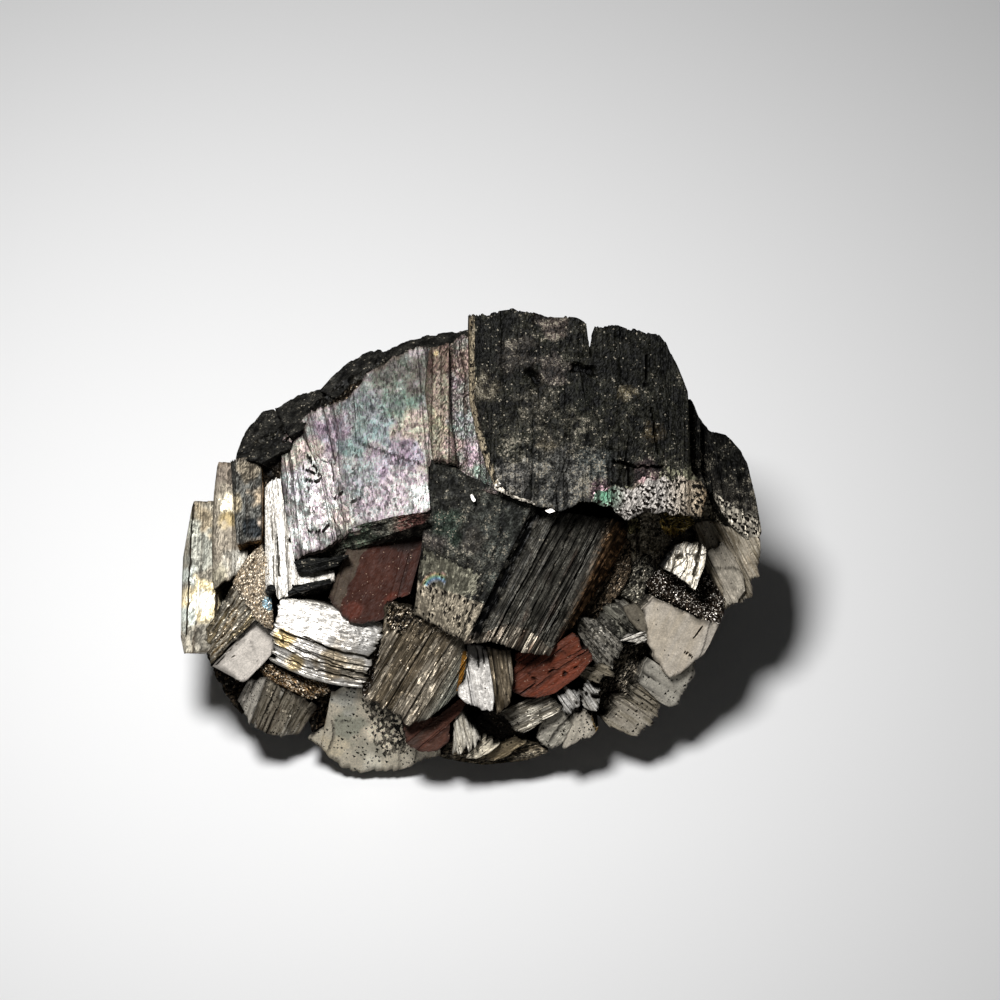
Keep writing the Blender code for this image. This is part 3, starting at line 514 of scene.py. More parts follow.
SOOT_PATCHES = (
    (16.0, 19.0, 3.6, (0.06, 0.06, 0.04)), (19.5, 13.0, 3.2, (0.07, 0.07, 0.045)),
    (2.4, 20.8, 2.6, (0.08, 0.08, 0.06)), (11.0, 14.8, 2.4, (0.07, 0.075, 0.05)),
    (4.8, 18.9, 1.8, (0.50, 0.43, 0.36)), (1.6, 15.9, 1.2, (0.90, 0.78, 0.54)),
    (8.2, 17.5, 1.5, (0.50, 0.41, 0.36)), (8.4, 22.0, 1.4, (0.85, 0.66, 0.56)),
    (15.5, 15.1, 0.9, (1.20, 1.00, 0.60)), (6.6, 13.8, 1.9, (0.60, 0.55, 0.42)),
    (7.9, 9.7, 1.2, (1.20, 1.02, 0.70)), (9.0, 6.2, 3.4, (1.02, 1.00, 0.90)),
    (4.0, 6.6, 2.2, (1.30, 1.24, 1.12)), (12.6, 8.0, 1.6, (0.55, 0.60, 0.56)),
    (10.0, 11.6, 1.8, (0.40, 0.38, 0.28)), (18.3, 11.3, 0.9, (0.45, 0.33, 0.16)),
    (17.3, 7.1, 1.3, (0.65, 0.44, 0.44)), (4.5, 9.8, 1.7, (0.46, 0.44, 0.33)),
    (0.9, 20.0, 0.9, (0.05, 0.05, 0.04)), (12.5, 5.6, 1.0, (0.60, 0.40, 0.44)))


def left_of_great(u, v):
    """How far right of the great crystal's bare left edge a spot lies."""
    return u - np.interp(v, (5.7, 8.5, 11.5, 14.5, 22.8), (2.6, 1.6, 0.7, 0.1, 0.0))


def lit_edge_line(u, v):
    """Above 0 along the lower left edge: a painted highlight line, where the coat is left off."""
    return 0.25 - (v - np.interp(u, (2.7, 4.5, 6.5, 7.2), (5.7, 4.7, 4.0, 2.0))) + 0.2 * drift(u * 2, v, 28)


def great_coat(u, v):
    """How far above the coat's lower edge a spot on the great crystal lies."""
    edge = np.interp(u, (10.5, 12.5, 14.1, 16.6, 18.0, 21.6, 24), (1.5, 5.6, 6.1, 5.9, 6.9, 7.2, 6.9))
    over = (v - edge + 0.5 * drift(u * 1.2, v * 1.2, 29)) * 0.8
    over = np.minimum(np.minimum(over, 1.0), -4 * lit_edge_line(u, v))
    return np.minimum(over, (left_of_great(u, v) - 0.35) * 1.5)


def silver(u, v):
    """Silver below, with a green bloom at the coat's edge; above, the coat's own patches, with painted
    sheen low down and a painted highlight line.
    """
    bloom = np.clip(1.2 - np.hypot(u - 13.3, v - 4.9) / 1.8, 0, 1)[..., None]
    blush = np.clip((u[..., None] - 19) / 4, 0, 1)
    plain = np.array((0.40, 0.37, 0.34)) * (1 - blush) + np.array((0.46, 0.37, 0.26)) * blush
    plain = plain * (1 - bloom) + np.array((0.12, 0.26, 0.17)) * bloom
    under = patched((0.15, 0.145, 0.10), SOOT_PATCHES, u, v, 200)
    # painted sheen: the coat is made lighter, in streaks, toward the lower edge
    sheen_streaks = drift(u * 1.9, v * 0.25, 27) + 0.5 * drift(u * 4.5, v * 0.5, 30)
    low = np.clip((11 - v) / 3, 0, 1)
    under = under * (0.94 + (0.16 + 0.6 * sheen_streaks) * low)[..., None]
    under = np.where(left_of_great(u, v)[..., None] < 0.5, (0.27, 0.225, 0.155), under)
    # a pale painted highlight line along the lower left edge
    under = np.where(lit_edge_line(u, v)[..., None] > -0.1, (0.70, 0.64, 0.54), under)
    coated = (great_coat(u, v) > -0.25) | (u < 11.5)
    return np.where(coated[..., None], under, plain)


def great_relief(u, v):
    """The blades stand out almost three times as far toward the lower left."""
    return 1 + 1.8 * np.clip((11 - v) / 4, 0, 1) * (u < 14)


def great_walls(u, v):
    """Walls bare at the left, toward the peacock crystal, and thick with soot elsewhere."""
    return np.where(u < 4, -0.6, 5.0)


sooty = ore("sooty_ore", streak=0.12, dots=1.4, dot=(1.9, 1.5, 1.0), speck=0.74, pale=0.8, jag=0.5,
            bump=0.12, facet=(5.0, 3.6, 0.36), roughness=0.52, teeth=(2.2, 1.7, 1.0))
GREAT_OUTLINE = [
    (-0.2, 22.8), (2.0, 23.0), (4.2, 23.5), (7.5, 22.9), (10.7, 22.7), (11.55, 22.3), (11.85, 19.9),
    (12.05, 19.9), (12.35, 21.8), (14.2, 21.9), (16.8, 21.4), (18.8, 20.9), (19.5, 20.2), (20.7, 17.7),
    (21.7, 15.3), (21.9, 7.5), (23.6, 5.5), (22.9, 2.9), (17.0, 3.3), (15.6, 2.4), (14.0, 3.7),
    (11.5, 4.5), (9.0, 3.3), (6.5, 4.0), (4.5, 4.7), (2.5, 5.6), (1.4, 8.5), (0.5, 11.5),
    (-0.1, 14.5)]
GREAT_GASHES = (
    (6.0, 17.1, 6.6, 16.4, 0.46), (10.4, 17.7, 12.1, 17.3, 0.28), (11.9, 19.9, 12.0, 18.9, 0.07),
    (17.6, 18.8, 17.4, 15.8, 0.05), (14.3, 8.3, 16.4, 7.9, 0.09), (16.4, 7.9, 19.2, 7.8, 0.06),
    (15.7, 7.8, 15.8, 6.2, 0.07), (18.0, 13.5, 18.6, 9.0, 0.05))
piece("great_crystal", [
    # the block itself, notched at the top
    slab(GREAT_OUTLINE,
         bearing=89, height=5.0, lean=(-0.12, -0.28), root=(0, -1, -12), seed=21,
         tint=silver, pitch=0.14, step=0.18, cover=great_coat,
         relief=((3.0, 9.0, 0.05), (1.1, 1.2, 0.03), (0.6, 4.5, 0.03)), strong=great_relief, grit=0.032,
         gashes=GREAT_GASHES, deep=0.6, ledge=0.15, fray=0.12, shrink=0.72,
         wall_tint=(0.34, 0.30, 0.22), wall_cover=great_walls),
    # a step down its right side
    slab([(21.0, 15.6), (22.2, 14.3), (23.0, 12.4), (22.9, 7.5), (23.7, 5.2), (21.0, 5.0)],
         bearing=89, height=2.2, lean=(-0.2, -0.25), root=(-4, -1, -12), seed=22,
         cover=6.0),
    # a lower step, against the lobe
    slab([(21.5, 13.0), (22.9, 12.8), (23.9, 11.5), (23.8, 8.5), (24.2, 5.3), (22.0, 3.6)],
         bearing=89, height=0.6, lean=(-0.2, -0.25), root=(-4, -1, -9), seed=23,
         cover=6.0),
], sooty)

# ---- bright tips -----------------------------------------------------------------------------
# Two tiny clean corners of silvery ore, painted near white as glints of light. One is a corner of
# the great crystal's lower edge, the other the tip of the central crystal's head.

bright = ore("bright_ore", streak=0.16, dots=0.14, metallic=0.6, facet=(5.0, 2.0, 0.26),
             groove=(0.10, 0.09, 0.07))
piece("glint_tips", [
    # on the head of the central crystal
    slab([(0.0, 5.0), (0.3, 5.1), (0.6, 4.7), (0.55, 4.35), (0.25, 4.4)],
         bearing=120, height=7.6, lean=(0.14, -0.32), root=(0, 0, -2), seed=24,
         tint=(0.85, 0.82, 0.78), relief=((0.3, 1.0, 0.03),), fray=0.03, grime=0.2),
    # on the great crystal's lower edge
    slab([(7.4, 3.5), (8.0, 3.7), (8.5, 3.4), (8.0, 3.1)],
         bearing=20, height=8.3, lean=(0.14, -0.32), root=(0, 0, -2), seed=25,
         tint=(0.85, 0.80, 0.76), relief=((0.3, 1.0, 0.03),), fray=0.03, grime=0.2),
], bright)

# ---- lobe ------------------------------------------------------------------------------------
# A dark rounded crystal at the right end, grown against the side of the great crystal. It is
# sooty above, and bare and dotted with black marks along its foot.

def lobe_coat(u, v):
    """Soot above a slanted line, and bare metal below it."""
    over = v - 4.2 - 0.6 * (26 - u)
    return np.where(over < 0, 0.35, 2.0) * over


piece("lobe", [
    slab([(23.4, 11.7), (24.2, 11.3), (25.6, 11.1), (26.2, 10.5), (27.1, 9.5), (27.8, 8.1), (28.2, 6.3),
          (28.7, 4.3), (29.0, 3.0), (29.2, 1.3), (28.7, 0.2), (27.5, 0.7), (26.5, 1.5), (25.2, 3.1),
          (24.3, 4.8), (23.6, 7.5)],
         bearing=100, height=0.0, lean=(-0.3, -0.15), root=(-6, -2, -10), seed=31,
         tint=(0.66, 0.60, 0.49), fray=0.05, cover=lobe_coat,
         relief=((1.0, 6.0, 0.10), (0.5, 2.0, 0.03)), wall_cover=5.0),
], sooty)

# ---- fan -------------------------------------------------------------------------------------
# A fan of thin curved plates of clean brown-grey metal that spreads from under the lobe, with
# one smooth plate on top. All of them grew from one root.

FAN_TINTS = ((0.50, 0.42, 0.31), (0.72, 0.64, 0.51), (0.22, 0.18, 0.12), (0.70, 0.62, 0.49),
             (0.26, 0.21, 0.14))
piece("fan", [
    # the plates, seen edge on
    slab([(22.4, 2.1), (24.2, 2.3), (26.2, 1.7), (27.6, 1.1), (29.0, 0.7), (28.9, -1.6), (28.9, -3.0),
          (28.1, -3.3), (28.2, -5.1), (27.0, -5.7), (26.0, -5.9), (25.4, -6.3), (24.8, -3.6),
          (23.3, -1.5)],
         bearing=-62, height=0.8, lean=(-0.06, -0.10), root=(-5, 0, -9), seed=32,
         tint=FAN_TINTS, wall_cover=3.0, relief=((1.1, 7.0, 0.20), (0.35, 4.0, 0.05)), pitch=0.08,
         fray=0.2),
    # the smooth plate on top of them
    slab([(23.6, -0.9), (25.2, 0.3), (26.3, -1.0), (27.3, -3.0), (27.6, -4.7), (27.0, -5.5),
          (25.5, -6.1), (25.2, -4.0), (24.4, -2.2)],
         bearing=-62, height=1.3, lean=(-0.06, -0.02), root=(-1, 0, -3), seed=33,
         tint=((0.60, 0.54, 0.44), (0.52, 0.46, 0.37)), relief=((1.8, 5.0, 0.04),), grit=0.012,
         fray=0.15, grime=0.4),
], ore("fan_ore", streak=0.32, dots=0.15, metallic=0.3, facet=(4.0, 1.4, 0.22)))

# ---- peacock crystal -------------------------------------------------------------------------
# The crystal at the upper left, split into overlapping upright plates that step down to the left.
# A thin tarnish film gives the bare metal pastel pinks, greens and blues. A deep valley parts it
# from the great crystal.

PEACOCK_ROOT = (1, -5, -9)
FILM_STRENGTH = 0.6
FILM_HUES = ((0.30, (0.55, 0.95, 0.80)), (0.40, (0.80, 0.90, 0.95)), (0.46, (1.05, 0.68, 1.05)),
             (0.52, (1.10, 1.05, 0.95)), (0.58, (0.65, 0.95, 1.00)), (0.66, (1.20, 0.92, 1.10)),
             (0.76, (1.15, 1.00, 0.65)))


def thin_film(tree, bare, mottle, grit):
    """Bare metal with its colour shifted in bands, as under a tarnish film of uneven thickness."""
    hue = maths(tree, "MULTIPLY_ADD", mottle, 0.8, maths(tree, "MULTIPLY", grit, 0.5))
    bands = node(tree, "ShaderNodeValToRGB", in_0=maths(tree, "SUBTRACT", hue, 0.15))
    while len(bands.color_ramp.elements) < len(FILM_HUES):
        bands.color_ramp.elements.new(0.5)
    for element, (place, value) in zip(bands.color_ramp.elements, FILM_HUES):
        element.position = place
        element.color = (*value, 1)
    hued = blend(tree, 1.0, bare, bands.outputs["Color"], "MULTIPLY")
    return blend(tree, FILM_STRENGTH, bare, hued)


# The film's own colours, except the three near-white patches at (-4.8, 4.6), (-14.2, 3.6) and (-17.0, 1.5),
# which are painted highlights.
FILM_TONES_AND_HIGHLIGHTS = (
    (-13.6, 11.3, 2.0, (0.32, 0.23, 0.31)), (-11.2, 10.2, 1.6, (0.16, 0.27, 0.25)),
    (-10.2, 13.6, 2.4, (0.16, 0.22, 0.20)), (-8.4, 17.2, 2.2, (0.12, 0.14, 0.10)),
    (-6.5, 14.2, 1.7, (0.12, 0.21, 0.15)), (-4.6, 17.0, 2.0, (0.10, 0.10, 0.07)),
    (-8.6, 11.4, 1.5, (0.19, 0.28, 0.28)), (-5.6, 11.2, 1.9, (0.42, 0.36, 0.23)),
    (-4.2, 8.6, 1.6, (0.46, 0.41, 0.30)), (-8.2, 7.4, 2.1, (0.36, 0.28, 0.36)),
    (-6.2, 9.2, 1.5, (0.32, 0.24, 0.32)), (-11.0, 6.6, 1.9, (0.28, 0.33, 0.32)),
    (-6.6, 5.2, 2.2, (0.50, 0.45, 0.44)), (-10.0, 4.0, 1.8, (0.48, 0.42, 0.44)),
    (-4.8, 4.6, 1.4, (0.80, 0.78, 0.74)), (-14.8, 7.2, 1.6, (0.72, 0.67, 0.61)),
    (-14.2, 3.6, 2.0, (0.95, 0.90, 0.84)), (-16.8, 6.0, 1.5, (0.74, 0.80, 0.77)),
    (-17.6, 9.4, 1.6, (0.56, 0.48, 0.36)), (-12.8, 2.6, 1.2, (0.75, 0.64, 0.50)),
    (-17.0, 1.5, 2.0, (1.30, 1.26, 1.20)), (-15.6, 9.6, 1.2, (0.60, 0.50, 0.38)))


def tarnish(u, v):
    """Grey metal under patches of a thin film that turns it purple, teal, green or cream, with three
    painted highlights.
    """
    shade = patched((0.33, 0.32, 0.29), FILM_TONES_AND_HIGHLIGHTS, u, v, 400)
    shade = shade * 0.52 + shade.mean(axis=-1, keepdims=True) * np.array((0.49, 0.485, 0.45))
    return shade * (0.43 + 0.14 * drift(u * 2.5, v * 2.5, 399)[..., None])


# The valley's own tones, except the small gold spot at (-3.4, 19.1), which is a painted glint.
VALLEY_TONES_AND_GLINT = (
    (-3.0, 18.6, 1.5, (0.08, 0.06, 0.045)), (-3.4, 19.1, 0.22, (0.34, 0.26, 0.14)),
    (-3.2, 12.5, 1.2, (0.18, 0.16, 0.11)), (-1.2, 16.5, 1.0, (0.12, 0.10, 0.10)),
    (-0.6, 12.0, 1.2, (0.17, 0.19, 0.17)), (0.4, 9.2, 1.2, (0.25, 0.21, 0.21)),
    (1.4, 7.0, 1.0, (0.18, 0.22, 0.18)), (-1.6, 9.8, 0.9, (0.22, 0.18, 0.15)),
    (-0.2, 18.0, 1.2, (0.16, 0.13, 0.10)))
PEACOCK_RELIEF = ((1.5, 13.0, 0.10), (0.5, 5.0, 0.006))
# Walls far paler than the ore, to lift the shade on the underside of the broad face: painted light.
PEACOCK_WALLS_PAINTED_LIGHT = ((0.50, 0.42, 0.34), (1.0, 0.95, 0.78), (0.75, 0.52, 0.46))
PEACOCK_GASHES = (
    (-16.2, 8.9, -15.6, 8.0, 0.05), (-16.3, 7.5, -15.4, 7.0, 0.05), (-15.4, 7.9, -15.0, 6.8, 0.05),
    (-16.4, 6.5, -15.2, 6.3, 0.05), (-15.2, 6.3, -14.7, 6.9, 0.05), (-16.4, 1.9, -15.8, 1.3, 0.05),
    (-15.8, 1.3, -14.4, 1.5, 0.06), (-14.4, 1.5, -13.9, 2.0, 0.05), (-11.7, 4.2, -10.8, 4.6, 0.05),
    (-13.3, 4.6, -12.6, 5.3, 0.05))
peacock = ore("peacock_ore", streak=0.12, dots=0.5, film=thin_film, jag=0.35, roughness=0.45,
              facet=(4.5, 2.5, 0.34), groove=(0.03, 0.02, 0.015))
piece("peacock_crystal", [
    # the valley beside the great crystal
    slab([(-2.0, 20.0), (-0.8, 21.0), (0.6, 20.5), (0.8, 14.5), (1.6, 10.5), (2.6, 8.3), (3.4, 5.0),
          (1.0, 5.5), (-0.4, 6.7), (-1.7, 7.7), (-1.9, 10.5), (-2.5, 14.5)],
         bearing=92, height=5.0, lean=(0.1, -0.3), root=PEACOCK_ROOT, seed=41,
         grit=0.05, pitch=0.14,
         tint=lambda u, v: patched((0.16, 0.15, 0.13), VALLEY_TONES_AND_GLINT, u, v, 430),
         relief=((1.5, 3.0, 0.05),)),
    # the brown strip between the valley and the broad face
    slab([(-4.0, 19.6), (-2.0, 20.2), (-2.2, 14.5), (-1.6, 10.5), (-1.1, 7.9), (-3.7, 8.5),
          (-4.0, 11.5), (-4.5, 15.5)],
         bearing=90, height=5.4, lean=(0.0, -0.3), root=PEACOCK_ROOT, seed=42,
         grit=0.03, pitch=0.14,
         tint=lambda u, v: patched((0.13, 0.115, 0.085), VALLEY_TONES_AND_GLINT, u, v, 430),
         relief=((1.4, 5.0, 0.05),)),
    # the broad tarnished face
    slab([(-10.4, 17.0), (-7.5, 18.8), (-5.0, 19.8), (-3.6, 19.5), (-3.5, 11.5), (-3.5, 8.5),
          (-4.6, 7.0), (-4.0, 5.0), (-3.8, 3.6), (-5.0, 2.9), (-7.0, 2.5), (-10.0, 1.9), (-11.6, 1.4),
          (-12.2, 4.5), (-13.0, 7.5), (-13.2, 10.5), (-12.9, 14.0), (-10.8, 16.0)],
         bearing=95, height=4.3, lean=(0.18, -0.3), root=PEACOCK_ROOT, seed=43,
         tint=tarnish, gashes=PEACOCK_GASHES, pitch=0.15, step=0.26,
         relief=((3.2, 14.0, 0.09), (0.7, 3.0, 0.012)), grit=0.012, deep=0.4, wall_tint=PEACOCK_WALLS_PAINTED_LIGHT,
         wall_cover=-0.4),
    # the next plate to the left, a step lower
    slab([(-16.0, 13.3), (-12.5, 14.5), (-12.6, 10.5), (-12.3, 7.0), (-11.5, 4.0), (-11.2, 1.5),
          (-12.5, 0.8), (-13.4, 2.5), (-14.2, 5.5), (-15.4, 8.5), (-16.7, 11.0)],
         bearing=103, height=3.7, lean=(0.18, -0.3), root=PEACOCK_ROOT, seed=44,
         tint=tarnish, relief=PEACOCK_RELIEF, pitch=0.14, gashes=PEACOCK_GASHES, deep=0.4),
    # a third plate, lower again
    slab([(-17.7, 11.7), (-16.0, 13.1), (-16.0, 10.5), (-14.8, 8.3), (-13.6, 5.3), (-12.7, 2.0),
          (-12.4, 0.9), (-14.8, -0.4), (-16.1, -0.8), (-16.9, 4.5), (-17.4, 8.5)],
         bearing=101, height=3.2, lean=(0.18, -0.32), root=PEACOCK_ROOT, seed=45,
         tint=tarnish, relief=PEACOCK_RELIEF, pitch=0.14, gashes=PEACOCK_GASHES, deep=0.4),
    # the outermost and lowest plate
    slab([(-18.7, 10.8), (-17.5, 11.6), (-16.8, 8.0), (-16.3, 4.5), (-15.9, -0.6), (-17.3, -1.6),
          (-18.2, 2.5), (-18.9, 6.5)],
         bearing=97, height=2.8, lean=(0.2, -0.34), root=PEACOCK_ROOT, seed=46,
         tint=tarnish, relief=PEACOCK_RELIEF),
], peacock)

# ---- overhang --------------------------------------------------------------------------------
# The broken underside of the peacock crystal's lower edge, in one piece with it: sooty ore,
# stained pink and green where the soot is thin.

OVERHANG_PATCHES = ((-6.0, 2.4, 1.8, (2.0, 0.9, 0.75)), (-11.0, 1.0, 1.5, (1.7, 2.1, 1.5)),
                    (-15.5, -0.8, 1.4, (2.0, 2.0, 1.8)))


def overhang_tint(u, v):
    """The stain under the soot. It is far brighter than any metal, as the soot swallows most of it."""
    return patched((2.2, 2.15, 1.75), OVERHANG_PATCHES, u, v, 440)


piece("overhang", [
    slab([(-16.9, -1.2), (-16.2, -0.1), (-13.1, 1.0), (-10.8, 2.1), (-7.4, 2.9), (-4.0, 3.4),
          (-3.9, 2.4), (-6.3, 1.6), (-9.1, 0.5), (-12.2, -0.5), (-13.1, -1.4), (-15.4, -2.6),
          (-17.3, -1.9)],
         bearing=17, height=5.0, lean=(0.13, 0.75), root=(0, -2, -4), seed=48,
         relief=((0.8, 3.0, 0.12),), grit=0.05, cover=0.8, tint=overhang_tint),
], sooty)

# ---- dark blades -----------------------------------------------------------------------------
# Three thin splinters of soot-black ore that stick out from under the peacock crystal and the
# bright plate. They are split off along their length and still held at the root.

jet = ore("jet_black_ore", streak=0.3, coat=(0.006, 0.006, 0.005), pale=0.12, roughness=0.5,
          specular=0.15, facet=(4.0, 3.0, 0.25))
piece("dark_blades", [
    # the longest, straight under the overhang
    slab([(-17.5, -1.6), (-16.2, -1.3), (-14.2, -1.3), (-12.0, -0.9), (-13.1, -2.1), (-15.4, -2.7),
          (-16.9, -2.6)],
         bearing=15, height=5.3, lean=(0.1, 0.2), root=(0, 0, -3), seed=49,
         cover=5.0, fray=0.3),
    # the one across the foot of the bright plate
    slab([(-18.1, -4.8), (-17.6, -3.9), (-16.8, -4.2), (-16.5, -3.8), (-14.8, -3.5), (-13.7, -3.2),
          (-13.9, -3.8), (-15.4, -4.2), (-17.1, -4.8)],
         bearing=15, height=5.1, lean=(0.1, 0.0), root=(0, 0, -3), seed=50,
         cover=5.0, fray=0.2),
    # a short one at its left
    slab([(-20.3, -4.5), (-19.9, -3.9), (-19.2, -3.8), (-19.3, -4.9), (-20.2, -5.1)],
         bearing=15, height=4.6, lean=(0.1, 0.0), root=(0, 0, -3), seed=56,
         cover=5.0, fray=0.2),
], jet)

# ---- bright plate ----------------------------------------------------------------------------
# An upright plate of silver-white metal with fine striations and an L-shaped foot, grown against
# the outer side of the peacock crystal.

WHITE = (0.80, 0.78, 0.74)
piece("bright_plate", [
    slab([(-20.5, 6.5), (-20.2, 8.3), (-18.7, 10.6), (-18.3, 6.5), (-17.6, 2.5), (-17.1, -1.8),
          (-15.5, -2.3), (-13.4, -2.6), (-13.3, -3.4), (-16.4, -4.4), (-18.0, -4.9), (-19.1, -5.5),
          (-19.3, -4.0), (-20.3, -4.5), (-20.4, 0.5)],
         bearing=93, height=3.0, lean=(0.17, -0.31), root=(1, -3, -9), seed=47,
         tint=(WHITE, (0.6, 0.56, 0.50), WHITE), relief=((1.1, 12.0, 0.07), (0.4, 5.0, 0.004)),
         gashes=((-19.2, 1.0, -19.0, -3.0, 0.05), (-18.2, 3.2, -18.0, 2.9, 0.08),
                 (-18.0, 0.6, -17.8, 0.4, 0.07)), deep=0.5),
], bright)

# ---- central crystal -------------------------------------------------------------------------
# The steep prism in the middle, here its left side. It is smooth and sooty, worn bare in one
# greenish patch, and turns to clean pitted metal at the foot.

PRISM_PATCHES = (
    (-2.0, 5.5, 2.4, (0.24, 0.24, 0.20)), (2.6, 1.5, 2.6, (0.46, 0.49, 0.42)),
    (-4.0, 0.0, 1.4, (0.95, 0.80, 0.70)), (-2.2, 2.0, 1.6, (0.26, 0.38, 0.28)),
    (0.4, 0.4, 1.2, (0.75, 0.68, 0.56)), (2.2, -3.6, 1.2, (0.60, 0.68, 0.58)))


def rainbow(u, v):
    """Which part of a narrow arc of rainbow film a spot lies in: 0 to 1, or outside."""
    across = (np.hypot(u + 3.2, v + 4.4) - 0.9) / 0.85
    return np.where((v > -3.9) & (u < -2.4), across, -1)


def smooth_patch(u, v):
    """Above 0 inside the smooth greenish patch, which lies along the foot and fades out all round."""
    far = np.hypot((u + 2.2) / 4.2, (v + 3.2 + 0.33 * (u + 2.2)) / 2.6)
    return 1.0 - far + 0.25 * drift(u * 1.1, v * 1.1, 54)


def left_tint(u, v):
    """Grey metal in patches, with the greenish patch, the rainbow and a brown foot."""
    shade = patched((0.46, 0.46, 0.38), PRISM_PATCHES, u, v, 210)
    foot = streaky(((0.27, 0.23, 0.17), (0.38, 0.33, 0.25)), u, v, 53)
    shade = np.where((5.2 + v + 0.33 * u < 0)[..., None], foot, shade)
    light = 0.85 + 0.25 * drift(u * 1.6, v * 1.6, 59)[..., None]
    smooth = np.clip(smooth_patch(u, v) * 2 + 0.7, 0, 1)[..., None]
    smooth = np.where((5.2 + v + 0.33 * u > 0)[..., None], smooth, 0)
    shade = shade * (1 - smooth) + np.array((0.185, 0.176, 0.132)) * light * smooth
    arc = rainbow(u, v)
    colours = np.stack([np.interp(arc, (0, 0.3, 0.55, 0.8, 1), band) for band in
                        ((0.42, 0.16, 0.20, 0.46, 0.46), (0.40, 0.28, 0.38, 0.38, 0.28),
                         (0.38, 0.46, 0.25, 0.18, 0.26))], -1)
    return np.where(((arc > 0) & (arc < 1))[..., None], colours, shade)


def left_coat(u, v):
    """Soot that stops along a slanted line and is missing from the greenish patch."""
    over = np.minimum((5.2 + v + 0.33 * u) * 1.4, 1.0)
    over = np.minimum(over, 0.35 - 1.3 * smooth_patch(u, v))
    arc = rainbow(u, v)
    return np.where((arc > 0) & (arc < 1), -0.6, over)


sooty_prism = ore("sooty_prism_ore", streak=0.3, dots=0.8, dot=(2.6, 1.0, 1.0), speck=0.5,
                  pale=0.5, jag=0.3, teeth=(3.0, 2.0, 1.0), bump=0.12, facet=(5.0, 2.4, 0.36),
                  roughness=0.5)
piece("central_crystal", [
    crystal([[(-5.5, -6.7, 6.2), (-3.0, -8.1, 7.1), (-0.4, -9.6, 8.0)],
             [(-3.8, 8.7, 6.2), (-0.3, 7.0, 6.9), (6.3, 4.1, 7.4)]],
            root=(0, 0, -9), seed=51,
            tint=left_tint, grit=0.02, cover=left_coat, relief=((3.0, 8.0, 0.04), (0.8, 2.0, 0.012)),
            gashes=((-2.0, -6.5, -2.0, -6.3, 0.12), (-3.6, -5.2, -3.6, -5.0, 0.12),
                    (-1.0, -7.8, -1.0, -7.6, 0.12)), deep=0.3),
], sooty_prism)

# ---- stepped side ----------------------------------------------------------------------------
# The right side of the central crystal, cut into long straight growth steps parallel to its ridge.
# The metal has a satin sheen, is clean at the foot and turns rusty beyond the last step.

SATIN = ((0.20, 0.19, 0.15), (0.95, 0.88, 0.73), (0.16, 0.15, 0.12), (0.70, 0.66, 0.55),
         (0.36, 0.28, 0.22))
RUSTY_WALL = ((0.16, 0.085, 0.04), (0.50, 0.29, 0.15), (0.10, 0.06, 0.035))


def above_foot(u, v):
    """How far above the clean foot of the right side a spot lies."""
    return v - np.interp(u, (0, 2, 3.5, 6, 8, 10.5), (-8.8, -8.4, -7.7, -8.3, -10.2, -13))


def right_tint(u, v):
    """Dull streaks of grey and brown with one painted highlight, rusty beyond the last step with painted
    orange glints.
    """
    across, along = u * 0.93 - v * 0.37, u * 0.37 + v * 0.93
    shade = streaky(SATIN, across, along, 55)
    # a painted highlight on the right of the face
    painted_sheen = np.clip(1.3 - np.hypot((u - 11.6 - 0.42 * (v + 2)) / 1.1, (v + 2) / 3.4), 0, 1)[..., None]
    shade = shade + painted_sheen * np.array((0.8, 0.76, 0.66))
    foot = streaky(((0.50, 0.44, 0.35), (0.12, 0.08, 0.055), (0.60, 0.53, 0.42)), across, along, 58)
    shade = np.where((above_foot(u, v) < 0)[..., None], foot, shade)
    rust = streaky(RUSTY_WALL, across * 2, along, 57)
    rust = rust * (0.5 + 0.5 * drift(across * 3.5, along * 3.5, 60))[..., None]
    # bright orange flecks in the rust: painted glints
    rust = np.where((drift(u * 5.5, v * 5.5, 61) > 0.58)[..., None], (0.9, 0.52, 0.26), rust)
    rusty_side = np.clip((u - 0.42 * v - 12.2) / 1.2, 0, 1)[..., None]
    return shade * (1 - rusty_side) + rust * rusty_side


def right_coat(u, v):
    """Soot above the clean foot, missing where the rust begins."""
    return np.clip(above_foot(u, v), -9, 0.9) - 1.6 * np.clip(u - 0.42 * v - 12.2, 0, 1)


piece("stepped_side", [
    crystal([[(-0.4, -9.6, 8.0), (2.3, -9.4, 7.4), (5.2, -10.5, 6.3), (7.7, -10.9, 5.0),
              (10.7, -7.4, 1.5)],
             [(6.3, 4.1, 7.4), (9.5, 3.2, 6.3), (12.5, 2.8, 4.6), (15.4, 2.4, 2.2), (15.7, 0.2, -0.5)]],
            root=(0, 0, -9), seed=52,
            tint=right_tint, cover=right_coat, grit=0.006,
            relief=((1.3, 16.0, 0.18), (0.5, 14.0, 0.14), (0.22, 8.0, 0.07)), pitch=0.08,
            gashes=((0.5, -8.9, 7.0, 3.9, 0.40), (5.0, -9.0, 10.6, 2.6, 0.04),
                    (2.4, -9.0, 8.8, 3.2, 0.04), (7.6, -9.6, 12.9, 1.8, 0.05)), deep=0.35),
], ore("satin_ore", streak=0.85, dots=0.3, pale=0.0, jag=0.3, bump=0.05, facet=(6.0, 0.6, 0.34),
       roughness=0.42))

# ---- end plates ------------------------------------------------------------------------------
# Three upright plates of ore at the left end, filmed gold-brown to steel-grey. They grew side by
# side, each lower and further out.

